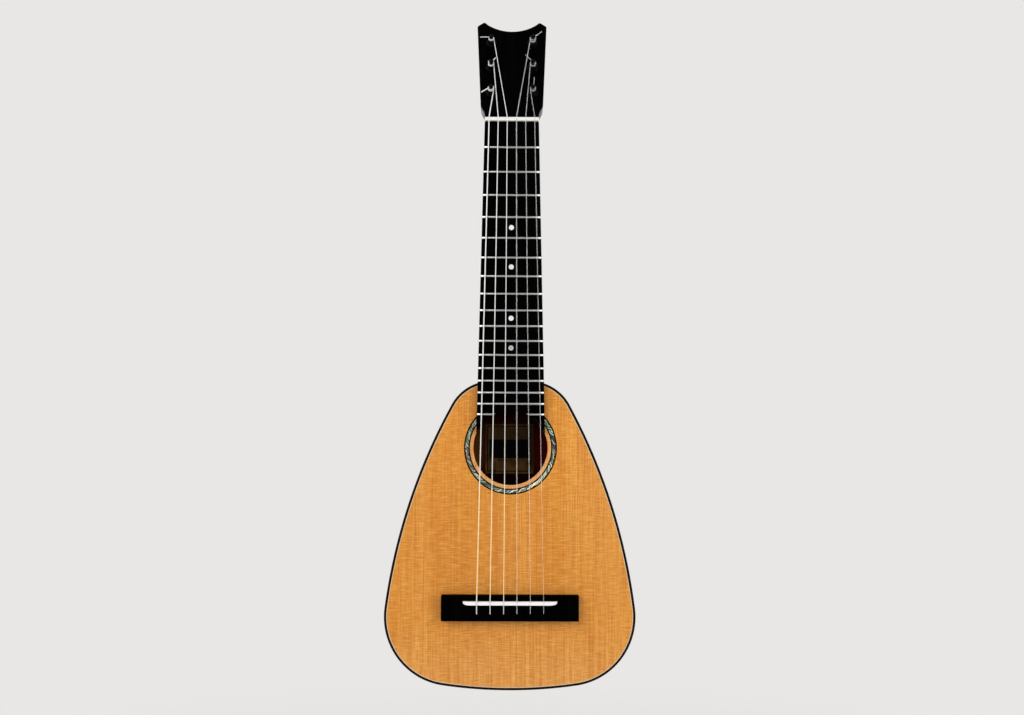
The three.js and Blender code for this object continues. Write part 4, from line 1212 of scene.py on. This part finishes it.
def winding(string, sign, start):
    """Points of a winding in the head's own axes, and the points of its first stretch."""
    radius = string.radius
    peg = Vector((sign * PEG_OFFSET, PEG_FIRST + PEG_PITCH * string.row))
    wrap = WAIST_RADIUS + SEAM + radius
    approach = peg - Vector((start.x, start.z))
    turn = -sign
    heading = math.atan2(approach.y, approach.x) - turn * math.asin(wrap / approach.length)
    first = heading - turn * math.pi / 2
    entry = math.radians(string.tag) + math.pi
    bend = radius + CORNER_CLEARANCE
    bend_angle = math.asin(bend / (wrap - bend))
    sweep = (turn * (entry - first)) % TAU + TAU * string.turns - bend_angle
    last_climb = math.pi - bend_angle
    pitch = 2 * radius + TURN_GAP

    def climb_at(angle):
        steady = min(angle, sweep - last_climb) / TAU
        steep = max(angle - sweep + last_climb, 0) / last_climb
        return pitch * (steady + steep)

    def towards(angle):
        return Vector((math.cos(angle), math.sin(angle)))

    def around(middle, angle, distance, height=POST_HOLE):
        x, v = middle + distance * towards(angle)
        return Vector((x, -height, v))

    def on_post(angle):
        return around(peg, first + turn * angle, wrap, POST_HOLE - climb_at(sweep) + climb_at(angle))

    steps = math.ceil(TURN_STEPS * sweep / TAU)
    points = [on_post(COIL_LAG + (sweep - COIL_LAG) * i / steps) for i in range(steps + 1)]
    corner_angle = entry - turn * bend_angle
    corner = peg + (wrap - bend) * towards(corner_angle)
    for i in range(1, CORNER_STEPS + 1):
        swung = (math.pi / 2 + bend_angle) * i / CORNER_STEPS
        points.append(around(corner, corner_angle + turn * swung, bend))
    leaving = entry + math.pi
    points.append(around(peg, leaving, wrap))
    sideways = Vector((-math.sin(leaving), 0, math.cos(leaving)))
    for i in range(1, TAG_STEPS + 1):
        share = i / TAG_STEPS
        point = around(peg, leaving, wrap + TAG_LENGTH * string.tag_share * share)
        points.append(point + sideways * TAG_BEND * share ** 2)
    return points, [on_post(STRAND_REACH * i / REACH_STEPS) for i in range(REACH_STEPS + 1)]


def strand_route(radius, x):
    """Points and radii from the knot under the bridge plate, through the bridge and over the saddle."""
    knot_front = TOP_THICKNESS + SEAM + BRIDGE_PLATE_THICKNESS + KNOT_GAP
    points = [Vector((x, knot_front + depth, STRING_HOLES_Z)) for depth, size in KNOT]
    radii = [max(size, radius) for depth, size in KNOT]
    over = SADDLE_TOP - radius - STRING_ON_SADDLE
    corner = Vector((x, BRIDGE_TOP - radius - BEHIND_SADDLE_DROP, STRING_HOLES_Z))
    meets = Vector((x, over + STRING_MEETS_SADDLE, SADDLE_Z - SADDLE_LENGTH / 2 + SADDLE_RUN))
    into = corner + Vector((0, BEND_REACH, 0))
    out = corner + (meets - corner).normalized() * BEND_REACH
    points += [curve(into, corner, out, i / BEND_STEPS) for i in range(BEND_STEPS + 1)]
    points += [meets, Vector((x, over, SADDLE_Z - SADDLE_RUN)), Vector((x, over, SADDLE_Z + SADDLE_RUN))]
    points.append(Vector((x, over + STRING_LEAVES_SADDLE, SADDLE_Z + SADDLE_LENGTH / 2)))
    return points, radii + [radius] * (len(points) - len(radii))


def string_pieces(string, sign):
    x_nut = string.at_nut * NUT_WIDTH / 2
    nut_exit = Vector((x_nut, STRING_LINE, NUT_BACK))
    coil, reach = winding(string, sign, HEAD.inverted() @ nut_exit)
    far = HEAD @ reach[0]
    points, radii = strand_route(string.radius, string.at_bridge * SADDLE_HALF)
    points += [Vector((x_nut, STRING_LINE, 0)), nut_exit, nut_exit.lerp(far, 0.5), far]
    radii += [string.radius] * (len(points) - len(radii))
    points += [HEAD @ p for p in reach[1:]]
    radii += [string.radius * REACH_TAPER] * REACH_STEPS
    name = string.name
    material, slot = (wound, "wound_string") if name in WOUND else (nylon, "clear_string")
    strand = tube(f"strand_{name}", points, radii)
    finish(strand, material, slot=slot, replaces=[f"string_{name}"], angle=60)
    coil_piece = tube(f"winding_{name}", [HEAD @ p for p in coil], [string.radius] * len(coil))
    finish(coil_piece, material, body=f"peg_{name}_post", slot=slot, angle=60)


def knob(name, place):
    rings = []
    for t in sweep(math.pi, KNOB_STEPS):
        y = KNOB_Y - KNOB_HALF_LENGTH * math.cos(t)
        spread = max(math.sin(t), 0.02)
        wide = KNOB_HALF_WIDTH * spread ** 0.8
        thick = KNOB_HALF_THICKNESS * spread ** 0.9 * (1 - 0.16 * math.sin(t) ** 6)
        section = [(wide * c, y, thick * math.copysign(abs(s) ** 0.8, s)) for c, s in circle(1, KNOB_SIDES)]
        rings.append([place @ Vector(point) for point in section])
    return loft(name, rings)


def peg_pieces(string, sign, index):
    prefix = f"peg_{string.name}"
    place = peg_place(sign, string.row)
    profile = COLLAR_FRONT + shifted(CASE_SHELL, CASE_FRONT) + shifted(CASE_END, CASE_REAR)
    case = lathe(f"{prefix}_case", profile + shifted(CASE_HOLLOW, CASE_FRONT), 48, place)
    finish(case, peg_metal, slot="black_metal", replaces=[f"{prefix}_housing"])

    hexagon = circle(PEG_NUT_RADIUS, 6, PEG_NUT_TURN * index)
    hole = circle(PEG_NUT_HOLE, 32)
    peg_nut = slab(f"{prefix}_nut", [hexagon, hole], level(-COLLAR), level(PEG_NUT_SEAT), place)
    ease(peg_nut, VENEER_EDGE, 2, 50)
    finish(peg_nut, peg_metal, slot="black_metal")

    profile = shifted(POST_TIP, -POST_HEIGHT) + shifted(POST_WAIST, -COLLAR)
    post = lathe(f"{prefix}_spindle", profile + shifted(POST_GEAR, CASE_FRONT), 40, place)
    at_post_hole = place @ Matrix.Translation((0, -POST_HOLE, 0))
    along_tag = Matrix.Rotation(-math.radians(string.tag), 4, "Y") @ Matrix.Rotation(math.pi / 2, 4, "Z")
    carve(post, [plug(string.radius + POST_HOLE_SLACK, -CUT_PAST, CUT_PAST, 20, at_post_hole @ along_tag)])
    body = f"{prefix}_post"
    finish(post, peg_metal, body=body, slot="black_metal", replaces=[body], angle=40)

    profile = shifted(AXLE_GEAR, CASE_FRONT) + shifted(AXLE_NECK, CASE_REAR) + shifted(AXLE_END, KNOB_Y)
    axle = lathe(f"{prefix}_axle", profile, 32, place)
    body = f"{prefix}_button"
    finish(axle, peg_metal, body=body, slot="black_metal")
    button = knob(f"{prefix}_knob", place)
    finish(button, button_black, body=body, slot="black_button", replaces=[body], angle=60)


for index, string in enumerate(STRINGS):
    sign = math.copysign(1, string.at_nut)
    string_pieces(string, sign)
    peg_pieces(string, sign, index)

# The solids that are kept
for material, nodes in (
    (inner_wood, ("top_lining", "back_lining", "soundboard_braces")),
    (block_wood, ("neck_block", "tail_block", "bridge_plate")),
):
    for node in nodes:
        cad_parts[node].data.materials.clear()
        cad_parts[node].data.materials.append(material)

# Floor, light and backdrop, in metres
FLOOR_Z = -1.35
FLOOR_RADIUS = 7
FLOOR_SIDES = 64
FLOOR_FADE = (1.2, 3.0, 0.62, 1.0)
FLOOR_TONE = rgb(226, 225, 223)
BACKDROP = rgb(232, 231, 229)
AMBIENT = 0.48

# Each light has a name, its place, where it aims, its size and its power
LIGHTS = [
    ("key", (-1.5, -1.7, 0.9), (0, 0, -0.25), 1.6, 29),
    ("fill", (1.7, -1.6, 0.3), (0, 0, -0.25), 1.8, 19.5),
    ("rear", (0.6, 1.9, 1.2), (0, 0, -0.2), 1.6, 14),
]


def shown_as(g, output, lit, backdrop, share):
    """Ends a tree in its lit shader, and in the backdrop for the share of rays that see it as such."""
    g.node(output, {0: g.node("MixShader", {0: share, 1: lit, 2: backdrop})[0]})


def floor():
    rim = circle(FLOOR_RADIUS / MM, FLOOR_SIDES)
    points = [(x, y, FLOOR_Z / MM) for x, y in [(0, 0)] + rim]
    obj = solid("floor", points, [(0, 1 + i, 1 + (i + 1) % FLOOR_SIDES) for i in range(FLOOR_SIDES)])
    g = Graph(bpy.data.materials.new("floor"))
    g.tree.nodes.clear()
    flat = g.node("VectorMath", {0: g.object_place(), 1: (1, 1, 0)}, operation="MULTIPLY")[0]
    fade = g.fit(g.node("VectorMath", {0: flat}, operation="LENGTH")["Value"], *FLOOR_FADE)
    share = g.math("MULTIPLY", g.seen_by("Is Camera Ray", "Is Glossy Ray"), fade)
    lit = g.node("BsdfDiffuse", {"Color": FLOOR_TONE})[0]
    shown_as(g, "OutputMaterial", lit, g.node("Emission", {"Color": BACKDROP})[0], share)
    obj.data.materials.append(g.owner)


def studio():
    world = bpy.data.worlds.new("studio")
    bpy.context.scene.world = world
    g = Graph(world)
    g.tree.nodes.clear()
    lit = g.node("Background", {"Color": (1, 1, 1, 1), "Strength": AMBIENT})[0]
    backdrop = g.node("Background", {"Color": BACKDROP, "Strength": 1})[0]
    share = g.seen_by("Is Camera Ray", "Is Glossy Ray", "Is Transmission Ray")
    shown_as(g, "OutputWorld", lit, backdrop, share)


def area_light(name, place, aim, size, power):
    data = bpy.data.lights.new(name, "AREA")
    data.shape = "SQUARE"
    data.size = size
    data.energy = power
    light = bpy.data.objects.new(name, data)
    bpy.context.scene.collection.objects.link(light)
    light.location = place
    light.rotation_euler = (Vector(aim) - Vector(place)).to_track_quat("-Z", "Y").to_euler()


floor()
studio()
for light in LIGHTS:
    area_light(*light)

# Camera: its place in metres, its angles in degrees, and its focal length and shift in pixels
IMAGE_WIDTH = 1024
SENSOR_WIDTH = 36
FOCAL_PIXELS = 993
SHIFT_PIXELS = -0.5
CAMERA_PLACE = (-0.006, -0.91221, -0.25797)
CAMERA_YAW = 0.471
CAMERA_LIFT = 2.515
CAMERA_ROLL = 0.225

camera_data = bpy.data.cameras.new("camera")
camera_data.sensor_width = SENSOR_WIDTH
camera_data.lens = FOCAL_PIXELS / IMAGE_WIDTH * SENSOR_WIDTH
camera_data.shift_x = SHIFT_PIXELS / IMAGE_WIDTH
camera = bpy.data.objects.new("camera", camera_data)
bpy.context.scene.collection.objects.link(camera)
yaw, lift, roll = (math.radians(angle) for angle in (CAMERA_YAW, CAMERA_LIFT, CAMERA_ROLL))
forward = Vector((math.sin(yaw) * math.cos(lift), math.cos(yaw) * math.cos(lift), math.sin(lift)))
across = Vector((math.cos(yaw), -math.sin(yaw), 0))
up = across.cross(forward)
image_right = across * math.cos(roll) + up * math.sin(roll)
image_up = up * math.cos(roll) - across * math.sin(roll)
turned = Matrix((image_right, image_up, -forward)).transposed().to_4x4()
camera.matrix_world = Matrix.Translation(CAMERA_PLACE) @ turned
bpy.context.scene.camera = camera
bpy.context.scene.view_settings.view_transform = "Standard"

bpy.context.view_layer.update()
